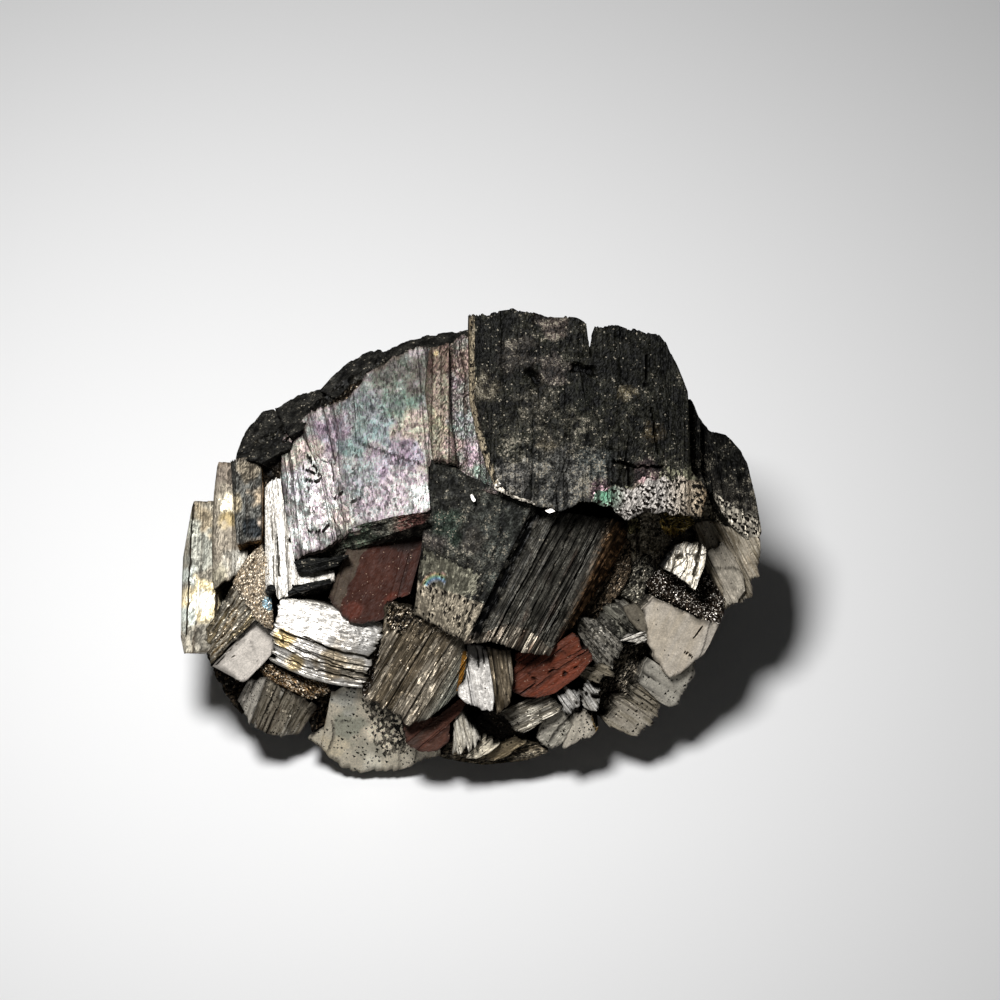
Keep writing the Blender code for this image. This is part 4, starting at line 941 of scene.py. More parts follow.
# The outer plate's own tones, except the gold patch at (-26.9, -5.4) and the near-white one inside it,
# which are a painted highlight.
OUTER_TONES_AND_HIGHLIGHT = (
    (-26.8, 2.6, 1.7, (0.23, 0.19, 0.13)), (-27.0, -0.6, 1.8, (0.24, 0.24, 0.205)),
    (-26.9, -5.4, 1.9, (0.74, 0.62, 0.38)), (-26.9, -5.6, 1.1, (1.0, 0.96, 0.82)),
    (-26.3, -9.2, 1.5, (0.12, 0.11, 0.09)), (-28.5, -3.0, 1.0, (0.40, 0.42, 0.38)),
    (-28.6, -7.0, 1.2, (0.38, 0.40, 0.36)), (-28.2, 1.5, 1.0, (0.32, 0.32, 0.27)))
INNER_PATCHES = (
    (-24.4, 7.2, 1.3, (0.12, 0.10, 0.08)), (-24.1, 4.0, 1.0, (0.75, 0.68, 0.52)),
    (-24.2, 2.4, 0.9, (0.20, 0.155, 0.08)), (-24.0, 0.2, 1.6, (0.19, 0.165, 0.13)),
    (-23.0, -1.8, 1.3, (0.40, 0.38, 0.33)), (-25.2, -3.2, 1.0, (0.22, 0.20, 0.15)))
DARK_PATCHES = (
    (-20.9, 5.0, 1.0, (0.30, 0.24, 0.17)), (-20.8, 1.5, 0.9, (0.30, 0.25, 0.20)),
    (-21.9, 1.6, 1.0, (0.015, 0.018, 0.020)), (-23.4, 4.0, 0.8, (0.26, 0.22, 0.15)),
    (-22.2, 7.6, 1.2, (0.14, 0.12, 0.09)))
gilded = ore("gilded_ore", streak=0.12, dots=0.15, groove=(0.04, 0.03, 0.02), facet=(3.5, 2.2, 0.26),
             roughness=0.46)
piece("end_plates", [
    # the outermost and lowest plate
    slab([(-28.0, 4.4), (-25.0, 4.4), (-24.6, -2.0), (-24.8, -8.0), (-26.0, -10.6), (-28.5, -10.8),
          (-28.9, -9.0), (-28.9, -1.5)],
         bearing=89, height=-1.0, lean=(0.2, -0.5), root=(1.5, -1, -6), seed=61,
         fray=0.05, pitch=0.14, wall_cover=-0.6,
         tint=lambda u, v: patched((0.22, 0.20, 0.16), OUTER_TONES_AND_HIGHLIGHT, u, v, 220),
         relief=((1.0, 8.0, 0.03), (0.6, 4.0, 0.01)),
         gashes=((-25.4, 4.0, -25.3, -7.0, 0.10), (-28.0, 4.0, -28.3, -9.0, 0.05)), deep=0.3),
    # the middle plate, gold-brown
    slab([(-25.3, 8.2), (-23.8, 8.3), (-23.6, 5.0), (-23.2, 0.2), (-22.0, -0.5), (-22.2, -2.0),
          (-23.3, -3.0), (-24.5, -3.7), (-25.6, -4.5), (-25.8, 0.5), (-25.7, 4.5), (-25.5, 6.5)],
         bearing=90, height=0.9, lean=(0.2, -0.3), root=(0.5, -2, -8), seed=62,
         pitch=0.14, tint=lambda u, v: patched((0.21, 0.185, 0.145), INNER_PATCHES, u, v, 230),
         relief=((1.4, 7.0, 0.05), (0.6, 3.0, 0.01))),
    # the innermost plate, blue-black
    slab([(-23.9, 8.4), (-20.8, 8.9), (-20.6, 4.5), (-20.7, 0.5), (-23.2, 0.1), (-23.6, 5.0)],
         bearing=91, height=2.2, lean=(-0.05, -0.22), root=(1, -4, -7), seed=63,
         tint=lambda u, v: patched((0.075, 0.075, 0.068), DARK_PATCHES, u, v, 240),
         relief=((0.9, 5.0, 0.05), (0.4, 2.0, 0.03)), grit=0.03, wall_tint=(0.45, 0.27, 0.12),
         wall_cover=-0.2),
], gilded)

# ---- ramp ------------------------------------------------------------------------------------
# The sloping upper face of the block at the lower left, coarsely striated and tarnished brown and
# gold. The ramp, its side and its head are faces of one crystal.

TARNISHED = ((0.14, 0.10, 0.05), (0.80, 0.66, 0.42), (0.10, 0.075, 0.045), (1.0, 0.92, 0.76),
             (0.36, 0.25, 0.12))
tawny = ore("tawny_ore", streak=0.6, dots=0.2, facet=(5.5, 1.6, 0.60), glitter=0.10)
piece("ramp", [
    crystal([[(-27.0, -9.5, 1.0), (-25.6, -11.8, 2.9)], [(-23.4, -3.6, 3.0), (-21.2, -7.3, 4.1)]],
            root=(1, 0, -7), seed=64,
            tint=TARNISHED, grit=0.04, pitch=0.08, relief=((0.8, 1.6, 0.18), (0.25, 1.0, 0.12))),
], tawny)

# ---- ramp side -------------------------------------------------------------------------------
# The steep lower side of the ramp: one smooth, pale and nearly clean crystal face, with two
# scratches.

smooth_ore = ore("smooth_ore", streak=0.1, dots=0.04, metallic=0.1, facet=(4.0, 3.0, 0.12))
piece("ramp_side", [
    slab([(-25.6, -12.0), (-21.3, -7.4), (-19.5, -8.4), (-19.5, -10.6), (-20.6, -11.9), (-22.5, -13.7)],
         bearing=47, height=3.3, lean=(0.0, 0.03), root=(1, 1, -7), seed=65,
         tint=(0.72, 0.66, 0.59), relief=((1.0, 5.0, 0.02),), grit=0.004,
         gashes=((-23.6, -11.2, -23.3, -11.0, 0.07), (-25.2, -11.9, -22.4, -9.0, 0.04)), deep=0.2),
], smooth_ore)

# ---- ramp head -------------------------------------------------------------------------------
# The broken upper end of the ramp, and a ledge of the same grainy ore over the corner block. The
# break glitters.

def head_tint(u, v):
    """Brown, with one small spot of blue film."""
    film = np.hypot(u + 19.9, v + 5.7)[..., None] < 0.7
    return np.where(film, (0.45, 0.66, 0.76), (0.48, 0.40, 0.30))


glittering = ore("glittering_ore", streak=0.1, dots=0.5, glitter=0.6, facet=(4.2, 3.6, 0.8))
piece("ramp_head", [
    # the slope above the ramp, with one spot of blue film
    slab([(-20.6, 0.3), (-20.0, -2.0), (-19.6, -6.0), (-19.4, -8.5), (-21.2, -7.4), (-23.6, -3.6),
          (-22.2, -1.2)],
         bearing=70, height=3.6, lean=(0.15, -0.25), root=(0.5, -2, -8), seed=66,
         grit=0.10, tint=head_tint),
    # the ledge over the corner block
    slab([(-21.2, -12.0), (-20.0, -11.7), (-17.5, -12.9), (-14.2, -13.6), (-13.9, -14.6),
          (-15.8, -15.4), (-18.0, -14.4), (-20.3, -13.2)],
         bearing=150, height=2.9, lean=(0.0, -0.2), root=(1, 2, -6), seed=68,
         grit=0.10, tint=(0.26, 0.165, 0.08), cover=-0.1),
], glittering)

# ---- keel ------------------------------------------------------------------------------------
# A low dark ridge of grainy brown ore under the ramp's lower left edge. It is part of the matrix,
# rough where it broke away from the rock around it.

piece("keel", [
    slab([(-26.8, -9.7), (-25.6, -11.9), (-24.2, -13.1), (-22.5, -13.8), (-23.2, -15.3), (-22.8, -17.0),
          (-24.2, -15.5), (-25.8, -12.5)],
         bearing=60, height=-0.8, lean=(0.1, -0.1), root=(4, 2, -6), seed=67,
         tint=BROWN, cover=0.3, grit=0.06),
], granular)

# ---- layered block ---------------------------------------------------------------------------
# The bright block under the peacock crystal, built of bowed layers of clean metal like the pages
# of a book, with long cracks between them.

LAYER_PATCHES = (
    (-10.5, -9.0, 2.0, (0.52, 0.50, 0.47)), (-12.5, -10.0, 1.6, (0.50, 0.47, 0.43)),
    (-18.4, -9.4, 0.9, (0.72, 0.55, 0.28)), (-13.5, -11.6, 1.6, (0.46, 0.38, 0.27)),
    (-17.4, -11.4, 0.8, (0.62, 0.48, 0.26)), (-11.2, -12.6, 1.4, (0.45, 0.40, 0.32)))
LAYER_GASHES = (
    (-18.9, -8.4, -14.3, -10.1, 0.07), (-14.3, -10.1, -9.9, -11.2, 0.10),
    (-19.4, -9.9, -15.0, -11.7, 0.06), (-15.0, -11.7, -10.2, -12.9, 0.09),
    (-19.6, -10.8, -16.0, -12.4, 0.05), (-16.0, -12.4, -10.3, -13.6, 0.07),
    (-16.4, -9.0, -13.4, -10.5, 0.05), (-17.4, -10.2, -12.6, -12.0, 0.04))


def layer_relief(u, v):
    """The layers stand out below a slanted line. The face above it is smooth."""
    return np.clip((-8.3 - v - 0.34 * (u + 19)) / 0.6, 0.05, 1.0)


piece("layered_block", [
    crystal([[(-19.0, -5.2, 4.2), (-19.3, -8.0, 4.9), (-19.6, -9.6, 4.7), (-19.75, -11.4, 3.4)],
             [(-14.2, -5.9, 4.4), (-14.3, -9.8, 5.4), (-14.6, -11.6, 5.2), (-15.2, -13.4, 3.9)],
             [(-8.5, -7.8, 4.2), (-9.6, -10.9, 4.9), (-10.1, -12.4, 5.0), (-10.4, -14.2, 3.9)]],
            root=(0, 2, -8), seed=71,
            relief=((0.62, 18.0, 0.30), (0.25, 7.0, 0.10)), pitch=0.07, fray=0.3,
            tint=lambda u, v: patched((0.84, 0.80, 0.74), LAYER_PATCHES, u, v, 250),
            strong=layer_relief, gashes=LAYER_GASHES, deep=0.35, grit=0.02),
], bright)

# ---- corner block ----------------------------------------------------------------------------
# A small block of clean ore, striated and dotted with black, at the lower left corner. It stands
# on the foot of the matrix.

piece("corner_block", [
    # the narrow pale end
    crystal([[(-23.2, -15.4, 0.6), (-21.9, -17.8, 2.2)], [(-22.2, -13.6, 1.2), (-20.2, -13.2, 3.2)]],
            root=(1, 2, -6), seed=72,
            tint=(0.62, 0.57, 0.49)),
    # the striated face
    crystal([[(-21.9, -17.8, 2.2), (-19.5, -19.1, 1.4), (-17.0, -18.8, 0.2)],
             [(-20.2, -13.2, 3.2), (-17.5, -14.8, 2.6), (-15.2, -16.0, 1.2)]],
            root=(1, 2, -6), seed=73,
            tint=((0.80, 0.74, 0.62), (0.10, 0.08, 0.05), (0.50, 0.44, 0.34), (0.12, 0.09, 0.06),
                  (0.8, 0.75, 0.65)), relief=((0.8, 6.0, 0.14), (0.25, 3.0, 0.05)), pitch=0.08),
], ore("dotted_ore", streak=0.4, dots=0.9, speck=0.36, metallic=0.62, facet=(5.0, 2.0, 0.44)))

# ---- pale crystal ----------------------------------------------------------------------------
# The pale pitted crystal at the bottom left. Its right third is crusted with black grains that
# grew on it.

PITTED_PATCHES = (
    (-12.2, -18.0, 1.5, (0.44, 0.43, 0.34)), (-10.0, -20.4, 1.3, (0.52, 0.48, 0.38)),
    (-9.8, -21.9, 1.0, (0.84, 0.78, 0.64)), (-13.6, -20.2, 1.2, (0.78, 0.68, 0.50)),
    (-12.4, -15.4, 1.2, (0.62, 0.60, 0.52)), (-5.5, -21.4, 1.2, (0.66, 0.60, 0.48)),
    (-8.2, -18.2, 1.8, (1.1, 0.97, 0.76)))


def crust(u, v):
    """Black grains right of a line, thinning out toward the lower edge."""
    line = np.interp(v, (-21, -18, -15.5), (-8.6, -9.4, -10.4))
    over = np.clip((u - line + 0.4 * drift(u, v, 76)) * 0.5, -9, 0.16)
    return over - np.maximum(0, -21.0 - v + 0.3 * (u + 9))


pitted = ore("pitted_ore", streak=0.1, dots=0.5, dot=(2.7, 2.5, 1.0), speck=0.42, metallic=0.4,
             facet=(4.0, 3.0, 0.16), coat=(0.11, 0.096, 0.075), pale=1.2, jag=0.6,
             teeth=(4.2, 3.0, 1.0))
piece("pale_crystal", [
    slab([(-13.8, -14.5), (-12.5, -14.1), (-9.2, -14.4), (-6.0, -15.5), (-4.0, -18.5), (-2.5, -21.0),
          (-4.5, -21.3), (-5.8, -22.1), (-7.5, -22.6), (-9.5, -22.5), (-11.0, -22.8), (-12.5, -22.4),
          (-14.0, -21.2), (-16.2, -19.2), (-13.5, -17.5), (-12.9, -16.1)],
         bearing=80, height=1.2, lean=(0.0, 0.3), root=(2, 2, -8), seed=74,
         tint=lambda u, v: patched((0.68, 0.61, 0.48), PITTED_PATCHES, u, v, 270), cover=crust,
         relief=((2.0, 4.0, 0.04),), grit=0.012),
], pitted)

# ---- shadowed wedge --------------------------------------------------------------------------
# A rough brown wedge of the matrix, in the shaded gap between the corner block and the pale
# crystal.

piece("shadowed_wedge", [
    slab([(-17.5, -13.3), (-13.5, -13.8), (-13.0, -16.0), (-13.8, -17.4), (-15.8, -18.8),
          (-16.5, -16.0)],
         bearing=60, height=0.4, lean=(0.0, 0.1), root=(2, 2, -7), seed=75,
         tint=BROWN, cover=0.2, grit=0.06),
], granular)

# ---- red crystals ----------------------------------------------------------------------------
# Three crystals stained dark red by iron rust, grown in between the silvery ones. The stain is a
# dull skin, so they are the only ones without a metallic shine.

RUST = (0.19, 0.042, 0.018)
PANEL_PATCHES = (
    (-7.3, -5.4, 1.0, (0.11, 0.022, 0.010)), (-9.6, -3.0, 1.6, (0.060, 0.018, 0.010)),
    (-6.4, 0.8, 1.6, (0.022, 0.012, 0.009)), (-11.6, -6.3, 0.8, (0.09, 0.022, 0.012)))


def panel_tint(u, v):
    """Patches of dark red, with a ragged brown margin at the left."""
    margin = (u + 13.2 - 0.45 * (v + 5))[..., None] < 0.8 + 0.3 * drift(u, v, 86)[..., None]
    red = patched((0.045, 0.012, 0.006), PANEL_PATCHES, u, v, 260)
    return np.where(margin, (0.075, 0.055, 0.038), red)


rusty = ore("rusty_ore", streak=0.25, dots=0.45, metallic=0.0, roughness=0.6, jag=0.5,
            groove=(0.025, 0.010, 0.007), coat=(0.020, 0.012, 0.010), glitter=0.035,
            spark=(0.35, 0.24, 0.17), specular=0.2, facet=(3.0, 1.5, 0.2))
piece("red_crystals", [
    # the dark red panel under the peacock crystal
    slab([(-12.0, 0.2), (-9.8, 1.4), (-3.6, 3.6), (-4.6, 0.0), (-5.2, -2.5), (-5.8, -4.8), (-8.0, -5.5),
          (-8.4, -7.2), (-10.5, -7.7), (-12.0, -7.5), (-13.2, -6.3), (-14.0, -5.1), (-12.8, -2.0)],
         bearing=75, height=4.7, lean=(0.05, -0.1), root=(-1, -1, -8), seed=81,
         tint=panel_tint, relief=((2.0, 5.0, 0.04),), grit=0.02),
    # the bright red crescent under the central crystal
    slab([(4.6, -10.6), (5.5, -10.4), (7.0, -10.6), (8.5, -10.6), (9.2, -9.6), (10.2, -8.6),
          (10.7, -9.2), (11.2, -10.4), (11.8, -10.3), (12.2, -11.4), (10.5, -13.3), (8.5, -14.7),
          (6.5, -15.2), (5.2, -15.0), (4.3, -14.4), (4.4, -12.3)],
         bearing=35, height=4.2, lean=(-0.1, 0.05), root=(0, 1, -8), seed=82,
         tint=(RUST, (0.12, 0.035, 0.018), RUST), relief=((0.9, 3.0, 0.12),), grit=0.03,
         gashes=((8.0, -12.5, 8.3, -12.3, 0.14), (9.4, -12.9, 9.5, -12.8, 0.16),
                 (6.3, -13.2, 6.5, -13.3, 0.12), (10.4, -12.2, 10.5, -12.1, 0.10)), deep=0.25),
    # the small red block on the lower edge
    slab([(-6.8, -16.8), (-5.6, -17.4), (-4.2, -17.2), (-2.9, -17.0), (-1.3, -15.6), (-0.6, -14.8),
          (-0.3, -15.6), (-1.2, -17.0), (-2.1, -17.7), (-1.9, -18.9), (-2.3, -19.8), (-3.2, -20.5),
          (-5.0, -20.5), (-6.3, -19.9)],
         bearing=40, height=3.5, lean=(0.0, 0.0), root=(0, 1, -8), seed=83,
         tint=((0.13, 0.046, 0.028), (0.06, 0.034, 0.024)), relief=((0.9, 3.0, 0.06),), grit=0.03),
], rusty)

# ---- brown prism -----------------------------------------------------------------------------
# A finely striated grey-brown prism below the central crystal, with a rusty vein along its right
# edge. It leans against its neighbours, where it grew.

STREAKED = ((0.10, 0.075, 0.045), (0.36, 0.29, 0.20), (0.16, 0.125, 0.08), (0.68, 0.59, 0.46),
            (0.11, 0.085, 0.055))


def prism_shades(u, v):
    """Brown streaks, paler to the lower right, with a rusty vein along the right edge."""
    along, across = u * 0.515 + v * 0.857, u * 0.857 - v * 0.515
    shade = streaky(STREAKED, across, along, 86)
    pale = np.clip((across - 4.2) / 1.6, 0, 1)[..., None]
    light = 0.50 + 0.22 * drift(across * 4, along * 0.5, 87)[..., None]
    shade = shade * (1 - pale) + light * np.array((0.80, 0.80, 0.68)) * pale
    vein = (np.abs(u + 0.75 - 0.16 * (v + 12.4)) < 0.24) & (np.abs(v + 12.4) < 2.0)
    return np.where(vein[..., None], (0.62, 0.30, 0.05), shade)


piece("brown_prism", [
    slab([(-8.4, -5.8), (-6.0, -6.4), (-3.5, -7.9), (-1.5, -8.8), (-0.3, -9.6), (-0.2, -11.2),
          (-0.5, -12.8), (-1.1, -14.5), (-2.2, -15.6), (-4.0, -17.1), (-6.0, -17.9), (-6.8, -16.9),
          (-8.5, -16.0), (-10.4, -15.2), (-9.6, -13.5), (-8.9, -10.5)],
         bearing=59, height=5.2, lean=(0.14, 0.10), root=(0, 1, -8), seed=84,
         tint=prism_shades, fray=0.25, relief=((0.55, 8.0, 0.14), (0.2, 4.0, 0.08)), pitch=0.08),
], ore("prism_ore", streak=0.6, dots=0.5, metallic=0.62, glitter=0.05, facet=(5.5, 2.0, 0.52)))

# ---- rough shoulder --------------------------------------------------------------------------
# The brown prism's upper edge: a strip of broken, glittering grains where it joins the central
# crystal.

piece("rough_shoulder", [
    slab([(-8.2, -5.6), (-6.0, -6.2), (-3.6, -7.7), (-1.4, -8.8), (-2.0, -9.6), (-4.5, -9.4),
          (-6.8, -8.8), (-8.2, -8.0)],
         bearing=59, height=5.7, lean=(0.1, 0.2), root=(0, 1, -8), seed=88,
         tint=((0.16, 0.12, 0.07), (0.42, 0.34, 0.24)), cover=0.0, grit=0.10, relief=((0.5, 2.0, 0.10),)),
], glittering)

# ---- dark flank ------------------------------------------------------------------------------
# The brown prism's steep left side: a dark broken face of the same crystal, whose grains catch the
# light as bright sparks.

sparkling = ore("sparkling_ore", streak=0.1, dots=0.3, glitter=0.36, facet=(5.0, 4.2, 0.9),
                spark=(1.0, 0.93, 0.84))
piece("dark_flank", [
    slab([(-8.6, -5.5), (-7.2, -5.8), (-6.9, -8.0), (-7.6, -11.0), (-9.4, -14.2), (-10.6, -15.2),
          (-10.9, -13.5), (-9.6, -10.0), (-8.4, -7.8)],
         bearing=70, height=3.6, lean=(0.45, -0.1), root=(0, 0, -8), seed=85,
         tint=(0.08, 0.06, 0.04), grit=0.1),
], sparkling)

# ---- white crystals --------------------------------------------------------------------------
# Silver-white crystals and splinters of freshly broken ore along the lower edge, each with its
# root between its neighbours.

fresh = ore("fresh_ore", streak=0.15, dots=0.2, metallic=0.35, roughness=0.45, facet=(5.0, 2.5, 0.2))
piece("white_crystals", [
    # the upright crystal beside the brown prism
    slab([(-0.3, -9.6), (1.6, -10.2), (1.9, -11.1), (2.2, -13.1), (2.45, -15.3), (2.3, -16.3),
          (1.4, -16.4), (0.4, -15.9), (-0.2, -15.6), (-1.1, -14.9), (-1.2, -14.2), (-0.4, -13.1),
          (-0.2, -11.4)],
         bearing=100, height=6.0, lean=(0.12, -0.16), root=(0, 1, -9), seed=91,
         tint=((0.70, 0.67, 0.63), (0.56, 0.53, 0.49)), relief=((0.9, 6.0, 0.04),),
         gashes=((0.6, -9.8, 0.9, -12.0, 0.07), (1.3, -10.2, 1.4, -11.5, 0.06)), deep=0.3),
    # the jagged splinter on the lower edge
    slab([(-1.05, -16.3), (-0.3, -17.0), (0.4, -18.3), (1.1, -19.4), (-0.8, -20.9), (-1.7, -20.9),
          (-1.6, -18.8), (-1.5, -17.5)],
         bearing=100, height=3.4, lean=(0.1, -0.12), root=(0, 2, -7), seed=92,
         tint=((0.80, 0.75, 0.65), (0.78, 0.73, 0.63), (0.42, 0.38, 0.30), (0.80, 0.75, 0.65)),
         relief=((0.6, 2.0, 0.03),), fray=0.35, pitch=0.07),
    # the saw-toothed splinter at its foot
    slab([(-0.5, -21.1), (0.5, -20.1), (1.5, -19.0), (1.8, -19.5), (2.2, -19.3), (2.4, -19.8),
          (3.0, -19.7), (2.3, -20.5), (0.8, -21.2)],
         bearing=40, height=2.9, lean=(0.1, -0.05), root=(0, 2, -6), seed=93,
         tint=(0.76, 0.68, 0.53), relief=((0.5, 2.0, 0.05),), pitch=0.07),
    # the left one of two little teeth
    slab([(8.5, -14.7), (9.5, -14.0), (10.0, -14.2), (10.3, -14.9), (10.7, -14.2), (11.2, -14.8),
          (11.1, -15.6), (10.9, -16.4), (10.4, -16.8), (9.2, -16.4), (9.1, -15.8)],
         bearing=125, height=3.7, lean=(0.1, -0.2), root=(0, 1, -6), seed=94,
         tint=((0.66, 0.64, 0.60), (0.3, 0.28, 0.25), (0.66, 0.64, 0.60)), relief=((0.3, 2.0, 0.12),),
         fray=0.4, pitch=0.045, gashes=((10.6, -15.6, 10.6, -15.6, 0.1),)),
    # the right tooth
    slab([(11.4, -13.9), (12.0, -13.8), (12.4, -14.3), (13.0, -14.3), (12.9, -15.2), (12.8, -15.5),
          (12.6, -16.2), (11.8, -16.1), (11.2, -15.9), (11.4, -15.0)],
         bearing=125, height=3.3, lean=(0.1, -0.2), root=(0, 1, -6), seed=95,
         tint=((0.66, 0.64, 0.60), (0.34, 0.32, 0.28), (0.66, 0.64, 0.60)), relief=((0.3, 1.0, 0.14),),
         fray=0.4, pitch=0.045,
         gashes=((12.2, -14.9, 13.0, -15.0, 0.13), (11.6, -14.9, 11.6, -14.9, 0.1))),
    # a sliver beside the clean pale face
    slab([(15.3, -9.4), (15.6, -8.8), (16.3, -8.9), (17.0, -8.6), (17.7, -9.1), (17.5, -9.7),
          (16.8, -9.5), (16.4, -9.9), (15.8, -9.5)],
         bearing=20, height=3.0, lean=(0.05, -0.2), root=(0, 0, -6), seed=97,
         tint=((0.62, 0.58, 0.52), (0.34, 0.32, 0.28)), relief=((0.3, 1.0, 0.12),), fray=0.4, pitch=0.05),
], fresh)

# ---- striated chips --------------------------------------------------------------------------
# Chips of grey and brown ore with fine striations, wedged in below the central crystal and along
# the lower rim. Each is the end of a small crystal rooted in the matrix.

clean = ore("clean_ore", streak=0.62, dots=0.3, metallic=0.5, facet=(5.0, 2.0, 0.42))


def sooty_foot(u, v):
    """Soot toward the lower edge only."""
    return -0.25 - 0.3 * (v + 7.0)


def sooty_patches(u, v):
    """Soot here and there."""
    return -0.1 + 0.15 * drift(u, v, 107)


piece("striated_chips", [
    # against the right side of the upright white crystal
    slab([(1.6, -10.0), (4.1, -10.4), (4.3, -13.0), (4.0, -15.7), (2.7, -16.8), (2.45, -15.3),
          (2.2, -13.1), (1.9, -11.1)],
         bearing=98, height=5.6, lean=(-0.1, 0.0), root=(0, 1, -9), seed=101,
         tint=STREAKED, relief=((0.5, 6.0, 0.12),), pitch=0.08),
    # the leaning chip under the red crescent
    slab([(3.0, -16.5), (4.2, -15.9), (5.7, -15.3), (7.8, -14.9), (9.1, -16.0), (8.9, -16.5),
          (7.3, -17.5), (5.8, -18.5), (5.5, -18.7), (4.5, -18.4), (4.1, -17.9), (3.4, -17.3)],
         bearing=25, height=3.2, lean=(0.0, 0.05), root=(0, 1, -8), seed=102,
         tint=((1.0, 0.94, 0.82), (0.22, 0.19, 0.14), (0.95, 0.88, 0.74)),
         relief=((0.6, 5.0, 0.13), (0.2, 3.0, 0.04)), pitch=0.08),
    # the black block under it
    slab([(0.4, -17.5), (1.5, -16.5), (2.9, -16.5), (4.4, -18.0), (5.7, -18.7), (4.5, -19.6),
          (2.7, -19.6), (1.5, -19.4)],
         bearing=140, height=1.8, lean=(0.0, 0.1), root=(0, 2, -8), seed=103,
         tint=BROWN, cover=0.8),
    # the bowed rim at the very bottom
    slab([(2.7, -19.6), (4.3, -19.3), (6.0, -19.4), (8.0, -20.6), (5.5, -21.5), (1.5, -21.9),
          (-1.0, -21.6), (-3.0, -21.1), (-2.0, -19.5)],
         bearing=10, height=1.7, lean=(0.0, 0.1), root=(0, 3, -7), seed=104,
         tint=((0.44, 0.38, 0.28), (0.2, 0.15, 0.09)), cover=0.0, grit=0.06),
    # the grey chip at the lower edge of the cavity
    slab([(13.2, -6.4), (15.1, -5.2), (17.0, -6.6), (17.8, -8.5), (17.0, -9.3), (16.2, -9.2),
          (15.3, -9.7), (14.6, -8.7), (13.6, -8.6), (12.5, -7.6)],
         bearing=140, height=2.2, lean=(0.1, 0.1), root=(0, 0, -7), seed=105,
         relief=((0.6, 4.0, 0.12),), fray=0.25,
         tint=((0.44, 0.42, 0.34), (0.18, 0.17, 0.14), (0.60, 0.56, 0.48)), cover=sooty_foot, grit=0.03),
    # the grey chip beside the red crescent
    slab([(10.5, -7.2), (12.7, -7.4), (14.5, -8.6), (15.4, -10.0), (14.2, -12.0), (13.0, -13.5),
          (11.5, -13.1), (12.7, -12.2), (11.8, -10.5), (10.6, -8.5)],
         bearing=130, height=1.7, lean=(0.0, 0.15), root=(0, 0, -7), seed=106,
         relief=((0.6, 4.0, 0.12),), fray=0.25,
         tint=((0.38, 0.35, 0.28), (0.62, 0.58, 0.50), (0.19, 0.17, 0.13)), cover=sooty_patches,
         grit=0.03),
], clean)

# ---- pale chips ------------------------------------------------------------------------------
# Pale grey and brown chips and blocks of pitted ore along the lower right edge. Some overlap like
# shingles, and all are rooted in the matrix.

def gilded_corner(u, v):
    """Beige, with a gold-brown right end."""
    return np.where((u + 0.3 * v)[..., None] > 6.95, (0.55, 0.34, 0.10), (0.74, 0.67, 0.55))


def block_relief(u, v):
    """Blades that stand out at the left and fade toward the right."""
    return np.clip((19.5 - u) / 1.5, 0.2, 1.8)


def page_relief(u, v):
    """Pages that stand out further toward the upper edge."""
    return np.clip(0.5 + (v + 17.2 + 0.2 * (u - 16.0)) * 0.6, 0.3, 1.6)


